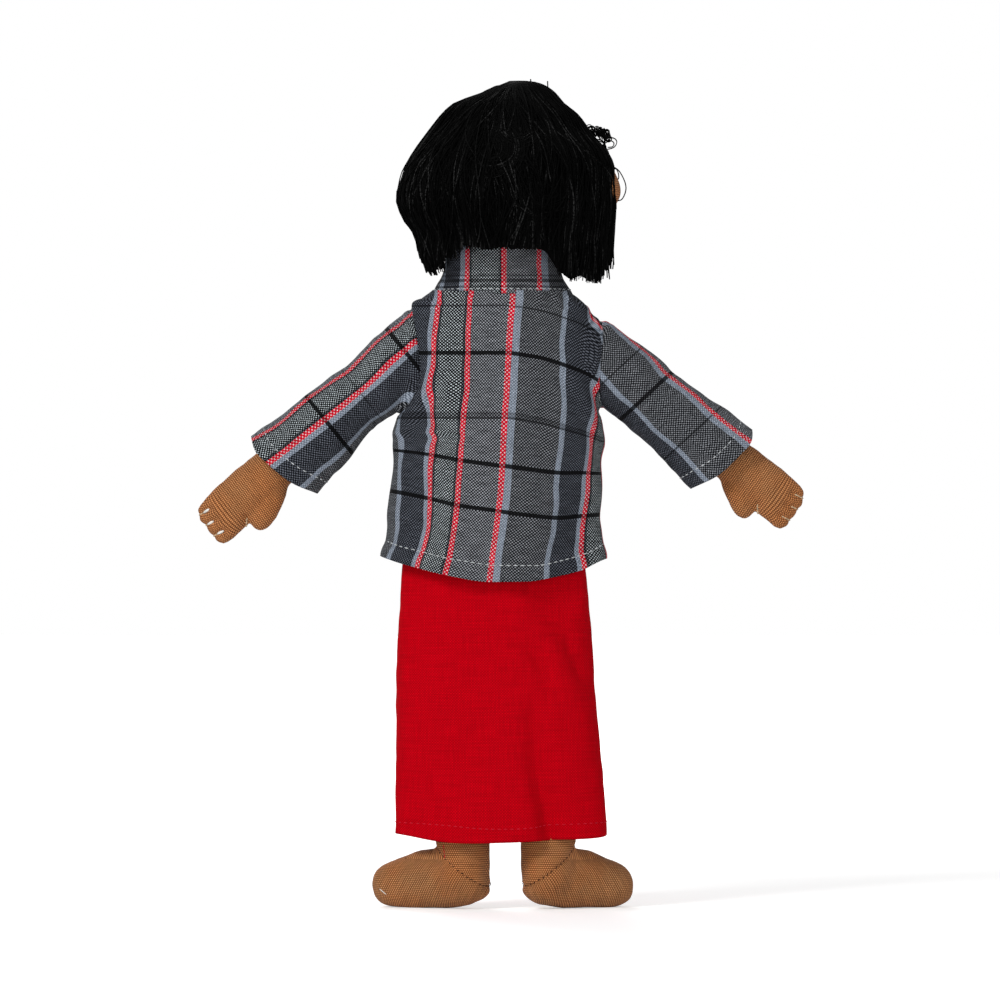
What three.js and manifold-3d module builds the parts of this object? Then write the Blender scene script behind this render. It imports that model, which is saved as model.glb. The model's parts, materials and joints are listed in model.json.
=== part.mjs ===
// A handloom rag doll: stuffed brown cotton body, black thread hair, plaid jacket and red skirt.
// Millimetres, +Z up. The doll stands upright and its chest faces -Y, so its left side is +X.
import * as THREE from 'three';
import Module from 'manifold-3d';
import { LoftGeometry } from 'three/addons/geometries/LoftGeometry.js';
import { mergeVertices } from 'three/addons/utils/BufferGeometryUtils.js';

const wasm = await Module();
wasm.setup();

// Cloth and seams
const seamGap = 0.3; // air between two sewn pieces
const skinWall = 0.9; // brown cotton of the body
const garmentWall = 0.9; // handloom cotton of the jacket and skirt
const collarWall = 1.6; // the collar is two layers
const soleCut = 0.5; // depth of the flat that the foot is pressed to

// Legs and feet
const legSpacing = 37; // between the middles of the legs
const legRadius = 11.8;
const legLength = 106; // from the ankle to the hip seam
const hipTaper = 13.5; // height over which the leg flattens into the hip seam
const seamRound = 1.2; // half thickness of the sewn-flat end of a leg
const hipClearance = 0.3; // between the leg's rounded seam and the torso
const ankleHeight = 22;
const footLength = 54;
const footHalfWidth = 9.8;
const footHeight = 19;
const heelLift = 6; // the stuffed heel curves up this far from the ground
const footYaw = 24; // degrees that the toes come forward of straight out
const mitreAngle = 38; // degrees that the ankle seam slopes down to the heel

// Torso and neck
const torsoLength = 126; // from the hip seam to the shoulders
const torsoHalfWidth = 35;
const torsoHalfDepth = 19;
const neckRadius = 12.5;
const neckLength = 31.5;

// Arms
const shoulderDrop = 20.4; // the shoulder hinge lies this far below the top of the torso
const shoulderRadius = 8; // half thickness of the arm's rounded end
const shoulderOut = 3; // the hinge lies this far outside the torso's widest part
const armLength = 113; // from the hinge to the fingertips
const armHalfWidth = 9.7;
const armHalfDepth = 8;
const handHalfDepth = 6;
const thumbLength = 19;
const thumbHalfWidth = 4.6;
const sewingSlot = 3; // opening left where an arm is stuffed and closed
const armDrop = { left: 39, right: 36 }; // degrees below level

// Head, face and hair
const headHalfWidth = 40;
const headHalfDepth = 40;
const headHeight = 66;
const headForward = 11; // the head sits forward of the neck
const headTurn = 45; // degrees that the face is turned to the doll's right
const eyeRadius = 3.4;
const eyeSpacing = 27;
const mouthWidth = 13;
const mouthHeight = 3;
const featureWall = 0.8;
const hairCrown = 4.8; // thickness on top of the head
const hairSide = 7;
const hairBack = 12;
const hairDrop = 13; // the side locks hang this far below the head
const faceHalfWidth = 37;
const fringeDrop = 19; // from the crown of the head down to the fringe's edge
const collarRoom = 3; // between the hair and the collar as the head turns

// Jacket
const hemLift = 13; // the jacket's hem hangs this far above the hip seam
const hemCurve = 10; // the hem rises this much towards its sides
const hemEase = 13; // room between the torso's side and the hem
const waistEase = 9.5;
const chestEase = 7;
const jacketDepthEase = 5;
const armholeIn = 4; // the armhole reaches this far inwards of the shoulder hinge
const flapWidth = 7; // each side of the middle, where the right front laps over the left
const collarHeight = 19.5;
const collarHalfWidth = 24;
const collarHalfDepth = 18;
const collarSpread = 5; // the collar is this much wider at its foot
const collarMouth = 3; // opening at the collar's front
const sleeveLength = 71;
const sleeveHalfWidth = 18.2;
const sleeveHalfDepth = 13.5;
const buttonRadius = 4;
const buttonThickness = 1.8;
const buttonCount = 4;
const buttonPitch = 25;

// Skirt
const waistAboveHip = 56; // height of the waistband's top above the hip seam
const bandHeight = 9;
const elasticWidth = 6;
const elasticWall = 1;
const skirtHem = 30; // height of the skirt's hem above the ground
const skirtHalfWidth = 45.2;
const skirtHalfDepth = 19;
const foldDepth = 1.6;

// Colours and finishes
const finish = (color, roughness) => new THREE.MeshStandardMaterial({ color, roughness, metalness: 0 });
const skinCloth = finish('#90613f', 0.95);
const filling = finish('#efe9dc', 1);
const plaidCloth = finish('#5a5f67', 0.9);
const redCloth = finish('#b80416', 0.85);
const hairThread = finish('#0a0a0a', 0.7);
const elasticWeb = finish('#e8e4da', 0.9);
const buttonShell = finish('#26262a', 0.4);
const eyeThread = finish('#15110f', 0.8);
const mouthThread = finish('#a23328', 0.8);

// Heights and places that follow from the dimensions above
const hipHeight = ankleHeight + legLength;
const torsoFoot = hipHeight + seamRound + hipClearance;
const shoulderTop = hipHeight + torsoLength;
const neckTop = shoulderTop + neckLength;
const headFoot = neckTop - skinWall;
const headMiddle = headFoot + headHeight / 2;
const shoulderHeight = shoulderTop - shoulderDrop;
const collarFoot = headFoot - seamGap - collarHeight;
const jacketTop = collarFoot - seamGap;
const jacketHem = hipHeight + hemLift;
const far = 400; // larger than the doll

const radians = THREE.MathUtils.degToRad;

// Turns a geometry into a solid that can be cut and joined.
function solid(geometry) {
  const bare = new THREE.BufferGeometry();
  bare.setAttribute('position', geometry.attributes.position);
  bare.setIndex(geometry.index);
  const merged = mergeVertices(bare, 1e-4);
  const vertProperties = new Float32Array(merged.attributes.position.array);
  const triVerts = new Uint32Array(merged.index.array);
  return new wasm.Manifold(new wasm.Mesh({ numProp: 3, vertProperties, triVerts }));
}

function geometryOf(shape) {
  const mesh = shape.getMesh();
  const geometry = new THREE.BufferGeometry();
  geometry.setAttribute('position', new THREE.BufferAttribute(mesh.vertProperties, 3));
  geometry.setIndex(new THREE.BufferAttribute(mesh.triVerts, 1));
  geometry.computeVertexNormals();
  return geometry;
}

function piece(name, shape, material) {
  const mesh = new THREE.Mesh(geometryOf(shape), material);
  mesh.name = name;
  return mesh;
}

// One ring of a soft form. Its outline is an ellipse, drawn out a little at the corners.
function ring(row, sides, square, fold) {
  const points = [];
  for (let i = 0; i < sides; i++) {
    const angle = (2 * Math.PI * i) / sides;
    const c = Math.cos(angle);
    const s = Math.sin(angle);
    const wave = fold ? fold(angle, row.z) : 0;
    const x = Math.sign(c) * Math.abs(c) ** (2 / square) * (row.wide + wave);
    const y = Math.sign(s) * Math.abs(s) ** (2 / square) * (row.deep + wave);
    points.push(new THREE.Vector3((row.x ?? 0) + x, (row.y ?? 0) + y, row.z));
  }
  return points;
}

// A form swept up through rings. grow offsets its surface, and overshoot lengthens both ends.
function loft(rows, { sides = 12, square = 2.2, grow = 0, overshoot = 0, thinnest = 0.3, fold } = {}) {
  const foot = rows[0].z;
  const top = rows[rows.length - 1].z;
  const middle = (foot + top) / 2;
  const stretch = (top - foot + 2 * grow) / (top - foot);
  const rings = rows.map((row, index) => {
    const past = index === 0 ? -overshoot : index === rows.length - 1 ? overshoot : 0;
    const wide = Math.max(row.wide + grow, thinnest);
    const deep = Math.max(row.deep + grow, thinnest);
    const z = middle + (row.z - middle) * stretch + past;
    return ring({ ...row, wide, deep, z }, sides, square, fold);
  });
  return solid(new LoftGeometry(rings, { capStart: true, capEnd: true }));
}

function box([x0, y0, z0], [x1, y1, z1]) {
  const geometry = new THREE.BoxGeometry(x1 - x0, y1 - y0, z1 - z0);
  geometry.translate((x0 + x1) / 2, (y0 + y1) / 2, (z0 + z1) / 2);
  return solid(geometry);
}

const slab = (axis, from, to) => {
  const low = [-far, -far, -far];
  const high = [far, far, far];
  low[axis] = from;
  high[axis] = to;
  return box(low, high);
};

// The three shapes of a stuffed piece: its outside, the hollow of its skin, and its stuffing.
const skinLayers = (shape) => ({
  outer: shape(0, 0.8),
  hollow: shape(-skinWall, 0.6),
  stuffing: shape(-skinWall - seamGap, 0.3),
});

// Keeps the jacket's or skirt's cloth above a hem that is lowest in the middle.
function hemCut(lowest, halfWidth, rise) {
  const outline = new THREE.Shape();
  const steps = 6;
  outline.moveTo(-far, -far);
  outline.lineTo(far, -far);
  outline.lineTo(far, lowest + rise * 2);
  for (let i = steps; i >= -steps; i--) {
    const share = (1.2 * i) / steps;
    outline.lineTo(share * halfWidth, lowest + rise * share * share);
  }
  outline.lineTo(-far, lowest + rise * 2);
  const geometry = new THREE.ExtrudeGeometry(outline, { depth: 2 * far, bevelEnabled: false });
  geometry.rotateX(Math.PI / 2);
  geometry.translate(0, far, 0);
  return solid(geometry);
}

// Leg and foot of one side, built about the leg's own middle line.
function legAndFoot(side) {
  const legRows = [
    { z: heelLift, wide: legRadius * 0.5, deep: legRadius * 0.5 },
    { z: heelLift + 2.2, wide: legRadius * 0.85, deep: legRadius * 0.85 },
    { z: heelLift + 6, wide: legRadius, deep: legRadius },
    { z: ankleHeight + legLength * 0.3, wide: legRadius * 1.02, deep: legRadius * 1.02 },
    { z: hipHeight - hipTaper, wide: legRadius * 1.1, deep: legRadius },
    { z: hipHeight - hipTaper / 2, wide: legRadius * 1.15, deep: legRadius * 0.56 },
    { z: hipHeight - seamRound, wide: legRadius * 1.15, deep: seamRound },
    { z: hipHeight + seamRound * 0.9, wide: legRadius * 1.1, deep: seamRound * 0.4 },
  ];
  // The foot's rings run from the heel to the toes, so they are swept upwards and laid down.
  const footRow = (share, wide, height, lift) => {
    const tall = (height * footHeight) / 2;
    return { z: share * footLength, wide: tall, deep: wide * footHalfWidth, x: -(tall + lift - soleCut) };
  };
  const footRows = [
    footRow(0, 0.35, 0.35, heelLift * 1.1),
    footRow(0.05, 0.75, 0.7, heelLift * 0.8),
    footRow(0.16, 1.0, 1.0, heelLift * 0.45),
    footRow(0.34, 0.98, 1.1, heelLift * 0.1),
    footRow(0.58, 0.95, 1.06, 0),
    footRow(0.8, 0.95, 0.98, 0),
    footRow(0.92, 0.8, 0.82, 0.6),
    footRow(0.98, 0.5, 0.5, 2.6),
    footRow(1, 0.2, 0.2, 5.5),
  ];
  const heel = legRadius + 0.2;
  const yaw = side > 0 ? -footYaw : -(180 - footYaw);
  const shape = (grow, thinnest) => {
    const leg = loft(legRows, { sides: 12, square: 2, grow, thinnest });
    const foot = loft(footRows, { sides: 12, square: 2.3, grow, thinnest });
    const laid = foot.rotate([0, 90, 0]).translate([-heel, 0, 0]).rotate([0, 0, yaw]);
    return leg.add(laid).subtract(slab(2, -far, grow < 0 ? -grow : 0));
  };
  // The ankle seam is a plane that slopes down from the instep to the heel.
  const seam = (from, to) =>
    slab(2, from, to)
      .rotate([0, -mitreAngle, 0])
      .rotate([0, 0, yaw])
      .translate([0, 0, 0.84 * ankleHeight]);
  const above = seam(seamGap / 2, far);
  const below = seam(-far, -seamGap / 2);
  const { outer, hollow, stuffing } = skinLayers(shape);
  const place = (part) => part.translate([(side * legSpacing) / 2, 0, 0]);
  return {
    legSkin: place(outer.subtract(hollow).intersect(above)),
    legStuffing: place(stuffing.intersect(above)),
    footSkin: place(outer.subtract(hollow).intersect(below)),
    footStuffing: place(stuffing.intersect(below)),
  };
}

// Torso and neck in one skin, sewn flat at the hip.
const torsoRows = [
  { z: torsoFoot, wide: torsoHalfWidth * 0.94, deep: seamRound * 0.65 },
  { z: torsoFoot + 5, wide: torsoHalfWidth * 0.98, deep: torsoHalfDepth * 0.28 },
  { z: torsoFoot + 14, wide: torsoHalfWidth, deep: torsoHalfDepth * 0.72 },
  { z: torsoFoot + 28, wide: torsoHalfWidth * 0.98, deep: torsoHalfDepth * 0.97 },
  { z: torsoFoot + torsoLength * 0.42, wide: torsoHalfWidth * 0.93, deep: torsoHalfDepth },
  { z: torsoFoot + torsoLength * 0.64, wide: torsoHalfWidth * 0.98, deep: torsoHalfDepth },
  { z: shoulderTop - 27, wide: torsoHalfWidth * 0.93, deep: torsoHalfDepth * 0.96 },
  { z: shoulderTop - 12, wide: torsoHalfWidth * 0.93, deep: torsoHalfDepth * 0.9 },
  { z: shoulderTop - 4, wide: torsoHalfWidth * 0.93, deep: torsoHalfDepth * 0.82 },
  { z: shoulderTop + 1, wide: torsoHalfWidth * 0.72, deep: torsoHalfDepth * 0.76 },
  { z: shoulderTop + 5, wide: neckRadius * 1.12, deep: neckRadius * 1.04 },
  { z: shoulderTop + 11, wide: neckRadius, deep: neckRadius },
  { z: neckTop, wide: neckRadius, deep: neckRadius },
];
const torsoSides = 18;
const torsoShape = (grow, thinnest, overshoot = 0) =>
  loft(torsoRows, { sides: torsoSides, square: 2, grow, thinnest, overshoot });

const shoulderX = torsoHalfWidth + shoulderOut;
const shoulderDisc = (side, room) => {
  const radius = shoulderRadius + room;
  const geometry = new THREE.CylinderGeometry(radius, radius, 4 * torsoHalfDepth, 20);
  geometry.translate(side * shoulderX, 0, shoulderHeight);
  return solid(geometry);
};

function torsoPieces() {
  const layers = skinLayers(torsoShape);
  const neckMouth = layers.hollow.intersect(slab(2, shoulderTop + 8, far)).translate([0, 0, 2 * skinWall]);
  // The arms lie in two hollows of the torso's sides, and its skin lines them.
  let { outer, hollow, stuffing } = layers;
  for (const side of [1, -1]) {
    outer = outer.subtract(shoulderDisc(side, seamGap));
    hollow = hollow.subtract(shoulderDisc(side, seamGap + skinWall));
    stuffing = stuffing.subtract(shoulderDisc(side, 2 * seamGap + skinWall));
  }
  return { skin: outer.subtract(hollow).subtract(neckMouth), stuffing };
}

// An arm lies along +X from the shoulder hinge at the origin. Its rings are swept up and laid down,
// so a ring's x is how far it lies below the arm's middle line.
const armRow = (z, wide, deep, rise) => ({ z, wide, deep, x: -rise });
const armEnd = -shoulderRadius;
const armRows = [
  armRow(armEnd, shoulderRadius * 0.2, armHalfDepth * 0.6, 0),
  armRow(armEnd * 0.72, shoulderRadius * 0.68, armHalfDepth * 0.9, 0),
  armRow(0, shoulderRadius, armHalfDepth, 0),
  armRow(armLength * 0.22, armHalfWidth * 0.95, armHalfDepth, 0.6),
  armRow(armLength * 0.5, armHalfWidth * 0.97, armHalfDepth, 1.6),
  armRow(armLength * 0.66, armHalfWidth, armHalfDepth * 0.95, 2.8),
  armRow(armLength * 0.8, armHalfWidth * 1.06, handHalfDepth * 1.05, 2.4),
  armRow(armLength * 0.92, armHalfWidth * 1.04, handHalfDepth, 1.8),
  armRow(armLength * 0.975, armHalfWidth * 0.82, handHalfDepth * 0.75, 1.6),
  armRow(armLength, armHalfWidth * 0.4, handHalfDepth * 0.35, 1.4),
];
const thumbRows = [
  { z: 0, wide: thumbHalfWidth * 1.2, deep: handHalfDepth * 0.8 },
  { z: thumbLength * 0.5, wide: thumbHalfWidth * 1.1, deep: handHalfDepth * 0.85 },
  { z: thumbLength * 0.86, wide: thumbHalfWidth * 0.95, deep: handHalfDepth * 0.7 },
  { z: thumbLength, wide: thumbHalfWidth * 0.5, deep: handHalfDepth * 0.35 },
];
const thumbRoot = [armLength * 0.7, 0, -armHalfWidth * 0.5];
const thumbAngle = 24; // degrees that the thumb points away from the palm

const armShape = (grow, thinnest) => {
  const arm = loft(armRows, { sides: 12, square: 2.1, grow, thinnest }).rotate([0, 90, 0]);
  const thumb = loft(thumbRows, { sides: 8, square: 2, grow, thinnest })
    .rotate([0, 90 + thumbAngle, 0])
    .translate(thumbRoot);
  return arm.add(thumb);
};

function armPieces() {
  const layers = skinLayers(armShape);
  const slot = box([armEnd - 1, -sewingSlot, -sewingSlot / 2], [armEnd + 3 * skinWall, sewingSlot, sewingSlot / 2]);
  return { skin: layers.outer.subtract(layers.hollow).subtract(slot), stuffing: layers.stuffing };
}

// The sleeve keeps its upper edge straight, and its lower edge flares towards the cuff.
const sleeveUpper = sleeveHalfWidth + 0.5;
const sleeveRow = (share, lower, deep) => ({
  z: share * sleeveLength,
  wide: (sleeveUpper + lower * sleeveHalfWidth) / 2,
  deep: deep * sleeveHalfDepth,
  x: -(sleeveUpper - lower * sleeveHalfWidth) / 2,
});
const sleeveRows = [
  sleeveRow(-0.22, 0.95, 1.25),
  sleeveRow(-0.02, 0.9, 1.15),
  sleeveRow(0.12, 0.74, 1.08),
  sleeveRow(0.31, 0.56, 1),
  sleeveRow(0.52, 0.68, 0.97),
  sleeveRow(0.78, 0.82, 1),
  sleeveRow(1, 0.97, 1.02),
];
const sleeveFold = (angle, z) => 0.45 * Math.cos(4 * angle + z / 11);
const sleeveShape = (grow, overshoot = 0) =>
  loft(sleeveRows, { sides: 14, square: 2.1, grow, overshoot, fold: sleeveFold }).rotate([0, 90, 0]);

const atShoulder = (part, side) => {
  const drop = side > 0 ? armDrop.left : armDrop.right;
  const lowered = part.rotate([0, drop, 0]);
  const turned = side > 0 ? lowered : lowered.mirror([1, 0, 0]);
  return turned.translate([side * shoulderX, 0, shoulderHeight]);
};

// Jacket body
const outsideArmhole = (side) => {
  const reach = shoulderX - armholeIn;
  return side > 0 ? slab(0, reach, far) : slab(0, -far, -reach);
};
const jacketHalfDepth = torsoHalfDepth + jacketDepthEase;
const jacketRow = (share, ease, deep, x) => ({
  z: jacketHem + share * (jacketTop - jacketHem),
  wide: torsoHalfWidth + ease,
  deep: deep * jacketHalfDepth,
  x,
});
const jacketRows = [
  jacketRow(0, hemEase, 1.06, 2.6),
  jacketRow(0.2, hemEase - 2.3, 1.04, 2.6),
  jacketRow(0.34, waistEase, 1, 1.2),
  jacketRow(0.52, waistEase + 0.5, 0.98, 0),
  jacketRow(0.62, chestEase, 0.95, 0),
  jacketRow(0.78, chestEase * 0.4, 0.9, 0),
  jacketRow(0.94, chestEase * 0.5, 0.84, 0),
  { z: jacketTop, wide: collarHalfWidth + collarSpread, deep: collarHalfDepth + 1, x: 0 },
];
const jacketFold = (angle, z) => {
  const loose = THREE.MathUtils.clamp((shoulderHeight - z) / (shoulderHeight - jacketHem), 0, 1);
  return 0.7 * loose * Math.cos(6 * angle + z / 30);
};
const jacketShape = (grow, overshoot = 0) =>
  loft(jacketRows, { sides: 28, square: 2.2, grow, overshoot, fold: jacketFold });

function jacketPanels() {
  const outer = jacketShape(0);
  const inner = jacketShape(-garmentWall, 3 * garmentWall);
  const flapOuter = jacketShape(garmentWall + seamGap);
  const flapInner = jacketShape(seamGap, 3 * garmentWall);
  const below = hemCut(jacketHem, torsoHalfWidth + hemEase, hemCurve);
  const body = torsoShape(seamGap, 0.8);
  const trim = (part) => {
    let cut = part.subtract(below).subtract(body).intersect(slab(2, -far, jacketTop));
    for (const side of [1, -1]) {
      cut = cut.subtract(atShoulder(sleeveShape(-garmentWall), side).intersect(outsideArmhole(side)));
    }
    return cut;
  };
  const shell = outer.subtract(inner);
  const stand = 1.5; // width of the step where the flap rises over the left front
  const front = slab(1, -far, -seamGap / 2);
  const stepped = flapOuter.subtract(inner).intersect(slab(0, -flapWidth - stand, -flapWidth));
  const flap = flapOuter.subtract(flapInner).intersect(slab(0, -flapWidth - stand, flapWidth));
  const rightShell = shell.intersect(slab(0, -far, -flapWidth)).add(stepped).add(flap);
  return {
    back: trim(shell.intersect(slab(1, seamGap / 2, far))),
    frontRight: trim(rightShell.intersect(front)),
    frontLeft: trim(shell.intersect(slab(0, -flapWidth + seamGap, far)).intersect(front)),
  };
}

function sleevePiece(side) {
  const tube = sleeveShape(0).subtract(sleeveShape(-garmentWall, 3 * garmentWall));
  const body = jacketShape(seamGap, far / 10);
  return atShoulder(tube, side).subtract(body).intersect(outsideArmhole(side));
}

// A ring of cloth between two ellipses, open at both ends.
function band(rows, wall, options) {
  const outer = loft(rows, options);
  return outer.subtract(loft(rows, { ...options, grow: -wall, overshoot: 2 * wall }));
}

function collarPiece() {
  const rows = [
    { z: collarFoot, wide: collarHalfWidth + collarSpread, deep: collarHalfDepth + 1 },
    { z: collarFoot + collarHeight * 0.3, wide: collarHalfWidth + 0.4 * collarSpread, deep: collarHalfDepth },
    { z: collarFoot + collarHeight, wide: collarHalfWidth, deep: collarHalfDepth * 0.98 },
  ];
  const mouth = box([-collarMouth / 2, -far, 0], [collarMouth / 2, 0, far]);
  const neck = torsoShape(seamGap, 0.8);
  return band(rows, collarWall, { sides: 24, square: 2.1 }).subtract(mouth).subtract(neck);
}

// Half depth of the jacket at a height, read between its rings.
function jacketDepthAt(z) {
  const upper = jacketRows.findIndex((row) => row.z > z);
  const [a, b] = [jacketRows[upper - 1], jacketRows[upper]];
  return THREE.MathUtils.mapLinear(z, a.z, b.z, a.deep, b.deep);
}

function buttonPiece(index) {
  const z = collarFoot - 11 - index * buttonPitch;
  const half = buttonThickness / 2;
  const profile = [
    new THREE.Vector2(0, -half),
    new THREE.Vector2(buttonRadius - 0.4, -half),
    new THREE.Vector2(buttonRadius, 0),
    new THREE.Vector2(buttonRadius - 0.6, half),
    new THREE.Vector2(buttonRadius * 0.6, half * 0.6),
    new THREE.Vector2(0, half * 0.6),
  ];
  const geometry = new THREE.LatheGeometry(profile, 12);
  geometry.rotateX(Math.PI);
  const flapFace = jacketDepthAt(z) + jacketFold(-Math.PI / 2, z) + garmentWall + seamGap;
  geometry.translate(0, -flapFace - seamGap - half, z);
  return solid(geometry).subtract(jacketShape(garmentWall + 2 * seamGap));
}

// Skirt: a waistband folded over its elastic, and the cloth that hangs from it.
const bandTop = hipHeight + waistAboveHip;
const bandFoot = bandTop - bandHeight;
function torsoSizeAt(z) {
  const upper = torsoRows.findIndex((row) => row.z > z);
  const [a, b] = [torsoRows[upper - 1], torsoRows[upper]];
  return {
    wide: Math.max(a.wide, b.wide),
    deep: Math.max(a.deep, b.deep),
  };
}
const waist = torsoSizeAt(bandTop - bandHeight / 2);
const bandRows = (low, high, grow) => [
  { z: low, wide: waist.wide + grow, deep: waist.deep + grow },
  { z: high, wide: waist.wide + grow, deep: waist.deep + grow },
];
const bandOptions = { sides: 24, square: 2 };
const channel = elasticWall + 2 * seamGap; // room for the elastic inside the waistband
const bandReach = seamGap + 2 * garmentWall + channel;

function waistbandPiece() {
  const outer = band(bandRows(bandFoot, bandTop, bandReach), bandReach, bandOptions);
  const inside = bandRows(bandFoot - 1, bandTop - garmentWall, bandReach - garmentWall);
  return outer.subtract(band(inside, channel, bandOptions)).subtract(torsoShape(seamGap, 0.8));
}

function elasticPiece() {
  const top = bandTop - garmentWall - seamGap;
  return band(
    bandRows(top - elasticWidth, top, bandReach - garmentWall - seamGap),
    elasticWall,
    bandOptions,
  );
}

const skirtTop = bandFoot - seamGap;
const skirtRow = (share, wide, deep, x) => ({
  z: skirtTop - share * (skirtTop - skirtHem),
  wide: wide * skirtHalfWidth,
  deep: deep * skirtHalfDepth,
  x,
});
const skirtRows = [
  skirtRow(1, 1, 1, 0),
  skirtRow(0.7, 0.97, 1, 1),
  skirtRow(0.52, 0.94, 1, 2),
  skirtRow(0.36, 0.9, 1.04, 2.6),
  skirtRow(0.2, 0.86, 1.1, 3),
  skirtRow(0.08, 0.83, 1.12, 1),
  { z: skirtTop, wide: waist.wide + bandReach, deep: waist.deep + bandReach, x: 0 },
];
// One long soft fold falls slantwise over the back, and shallow ones round the rest of the hem.
const skirtFold = (angle, z) => {
  const fall = THREE.MathUtils.clamp((skirtTop - z) / (skirtTop - skirtHem), 0, 1);
  const crease = angle - (1.95 + 0.16 * (1 - fall));
  return foldDepth * fall * (Math.exp(-((crease / 0.16) ** 2)) + 0.35 * Math.cos(5 * angle));
};

function skirtPiece() {
  const options = { sides: 32, square: 2.3, fold: skirtFold };
  const tube = band(skirtRows, garmentWall, options);
  return tube.subtract(hemCut(skirtHem, skirtHalfWidth, 3)).intersect(slab(2, -far, skirtTop));
}

// Head: turned about the neck, so its pieces are built facing -Y and turned together.
const headRows = (() => {
  const shares = [0, 0.05, 0.17, 0.36, 0.56, 0.74, 0.88, 0.96, 1];
  const widths = [0.42, 0.62, 0.86, 1, 0.95, 0.74, 0.52, 0.32, 0.14];
  return shares.map((share, i) => ({
    z: headFoot + share * headHeight,
    wide: widths[i] * headHalfWidth,
    deep: widths[i] * headHalfDepth,
    y: -headForward,
  }));
})();
const headSides = 18;
const headSquare = 2.3;
const headShape = (grow, thinnest) =>
  loft(headRows, { sides: headSides, square: headSquare, grow, thinnest });

function headPieces() {
  const layers = skinLayers(headShape);
  const hole = new THREE.CylinderGeometry(neckRadius + seamGap, neckRadius + seamGap, 8, 20);
  hole.rotateX(Math.PI / 2);
  hole.translate(0, 0, headFoot);
  const neckSeat = slab(2, -far, neckTop + seamGap);
  return {
    skin: layers.outer.subtract(layers.hollow).subtract(solid(hole)),
    stuffing: layers.stuffing.subtract(neckSeat),
  };
}

// A feature is a thin patch that lies on the face, seamGap off the cloth.
function facePatch(x, z, halfWide, halfTall) {
  const geometry = new THREE.CylinderGeometry(1, 1, 2 * headHalfDepth, 14);
  geometry.scale(halfWide, 1, halfTall);
  geometry.translate(x, -headForward - headHalfDepth, z);
  const skinAndGap = headShape(seamGap, 0.8);
  return solid(geometry).intersect(headShape(seamGap + featureWall, 0.8)).subtract(skinAndGap);
}

const hairRows = (() => {
  const foot = headFoot - hairDrop;
  const top = headFoot + headHeight + hairCrown;
  const heights = [foot, foot + 12, headMiddle, headMiddle + 8, headMiddle + 17, top - 10, top - 3.5, top];
  const sizes = [0.93, 0.98, 1, 0.94, 0.79, 0.58, 0.36, 0.12];
  const reach = (hairBack + 2) / 2; // the hair is 2 mm thick over the forehead
  return heights.map((z, i) => ({
    z,
    wide: sizes[i] * (headHalfWidth + hairSide),
    deep: sizes[i] * (headHalfDepth + reach),
    y: -headForward + hairBack - reach,
  }));
})();

function hairPieces() {
  // Below the middle of the head the locks hang straight down.
  const underHair = loft(
    [
      { z: 0, wide: headHalfWidth + seamGap, deep: headHalfDepth + seamGap, y: -headForward },
      { z: headMiddle, wide: headHalfWidth + seamGap, deep: headHalfDepth + seamGap, y: -headForward },
    ],
    { sides: headSides, square: headSquare },
  );
  const scalp = headShape(seamGap, 0.8).add(underHair);
  const collarReach = collarHalfWidth + collarSpread + collarRoom;
  const collarSpace = new THREE.CylinderGeometry(collarReach, collarReach, far, 28);
  collarSpace.rotateX(Math.PI / 2);
  collarSpace.translate(0, 0, headFoot + 1 - far / 2);
  // At the back of the doll the locks part and end above the collar.
  const parting = box([-collarHalfWidth, 0, 0], [collarHalfWidth, far, headFoot]).rotate([0, 0, headTurn]);
  const fringeEdge = headFoot + headHeight - fringeDrop;
  const face = box([-faceHalfWidth, -far, 0], [faceHalfWidth, -headForward, fringeEdge]);
  const hair = loft(hairRows, { sides: 22, square: 2.1 })
    .subtract(scalp)
    .subtract(solid(collarSpace))
    .subtract(parting)
    .subtract(face);
  const fringeBack = -headForward - 4;
  const backFront = hairBack - headForward + 3;
  const half = seamGap / 2;
  const underFringe = box([-far, -far, 0], [far, fringeBack + seamGap, fringeEdge - seamGap]);
  const sides = hair.intersect(slab(1, fringeBack + half, backFront - half).add(underFringe));
  return {
    hair_fringe: hair.intersect(slab(1, -far, fringeBack - half)).intersect(slab(2, fringeEdge, far)),
    hair_back: hair.intersect(slab(1, backFront + half, far)),
    hair_side_left: sides.intersect(slab(0, half, far)),
    hair_side_right: sides.intersect(slab(0, -far, -half)),
  };
}

// The doll, put together
const doll = new THREE.Group();
const body = torsoPieces();
const jacket = jacketPanels();
doll.add(
  piece('torso_skin', body.skin, skinCloth),
  piece('torso_stuffing', body.stuffing, filling),
  piece('jacket_back', jacket.back, plaidCloth),
  piece('jacket_front_left', jacket.frontLeft, plaidCloth),
  piece('jacket_front_right', jacket.frontRight, plaidCloth),
  piece('jacket_collar', collarPiece(), plaidCloth),
  piece('waistband', waistbandPiece(), redCloth),
  piece('waist_elastic', elasticPiece(), elasticWeb),
  piece('skirt', skirtPiece(), redCloth),
);
for (let i = 0; i < buttonCount; i++) {
  doll.add(piece(`jacket_button_${i + 1}`, buttonPiece(i), buttonShell));
}

for (const side of [1, -1]) {
  const word = side > 0 ? 'left' : 'right';
  const arm = armPieces();
  const leg = legAndFoot(side);
  doll.add(
    piece(`arm_skin_${word}`, atShoulder(arm.skin, side), skinCloth),
    piece(`arm_stuffing_${word}`, atShoulder(arm.stuffing, side), filling),
    piece(`sleeve_${word}`, sleevePiece(side), plaidCloth),
    piece(`leg_skin_${word}`, leg.legSkin, skinCloth),
    piece(`leg_stuffing_${word}`, leg.legStuffing, filling),
    piece(`foot_skin_${word}`, leg.footSkin, skinCloth),
    piece(`foot_stuffing_${word}`, leg.footStuffing, filling),
  );
}

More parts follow.
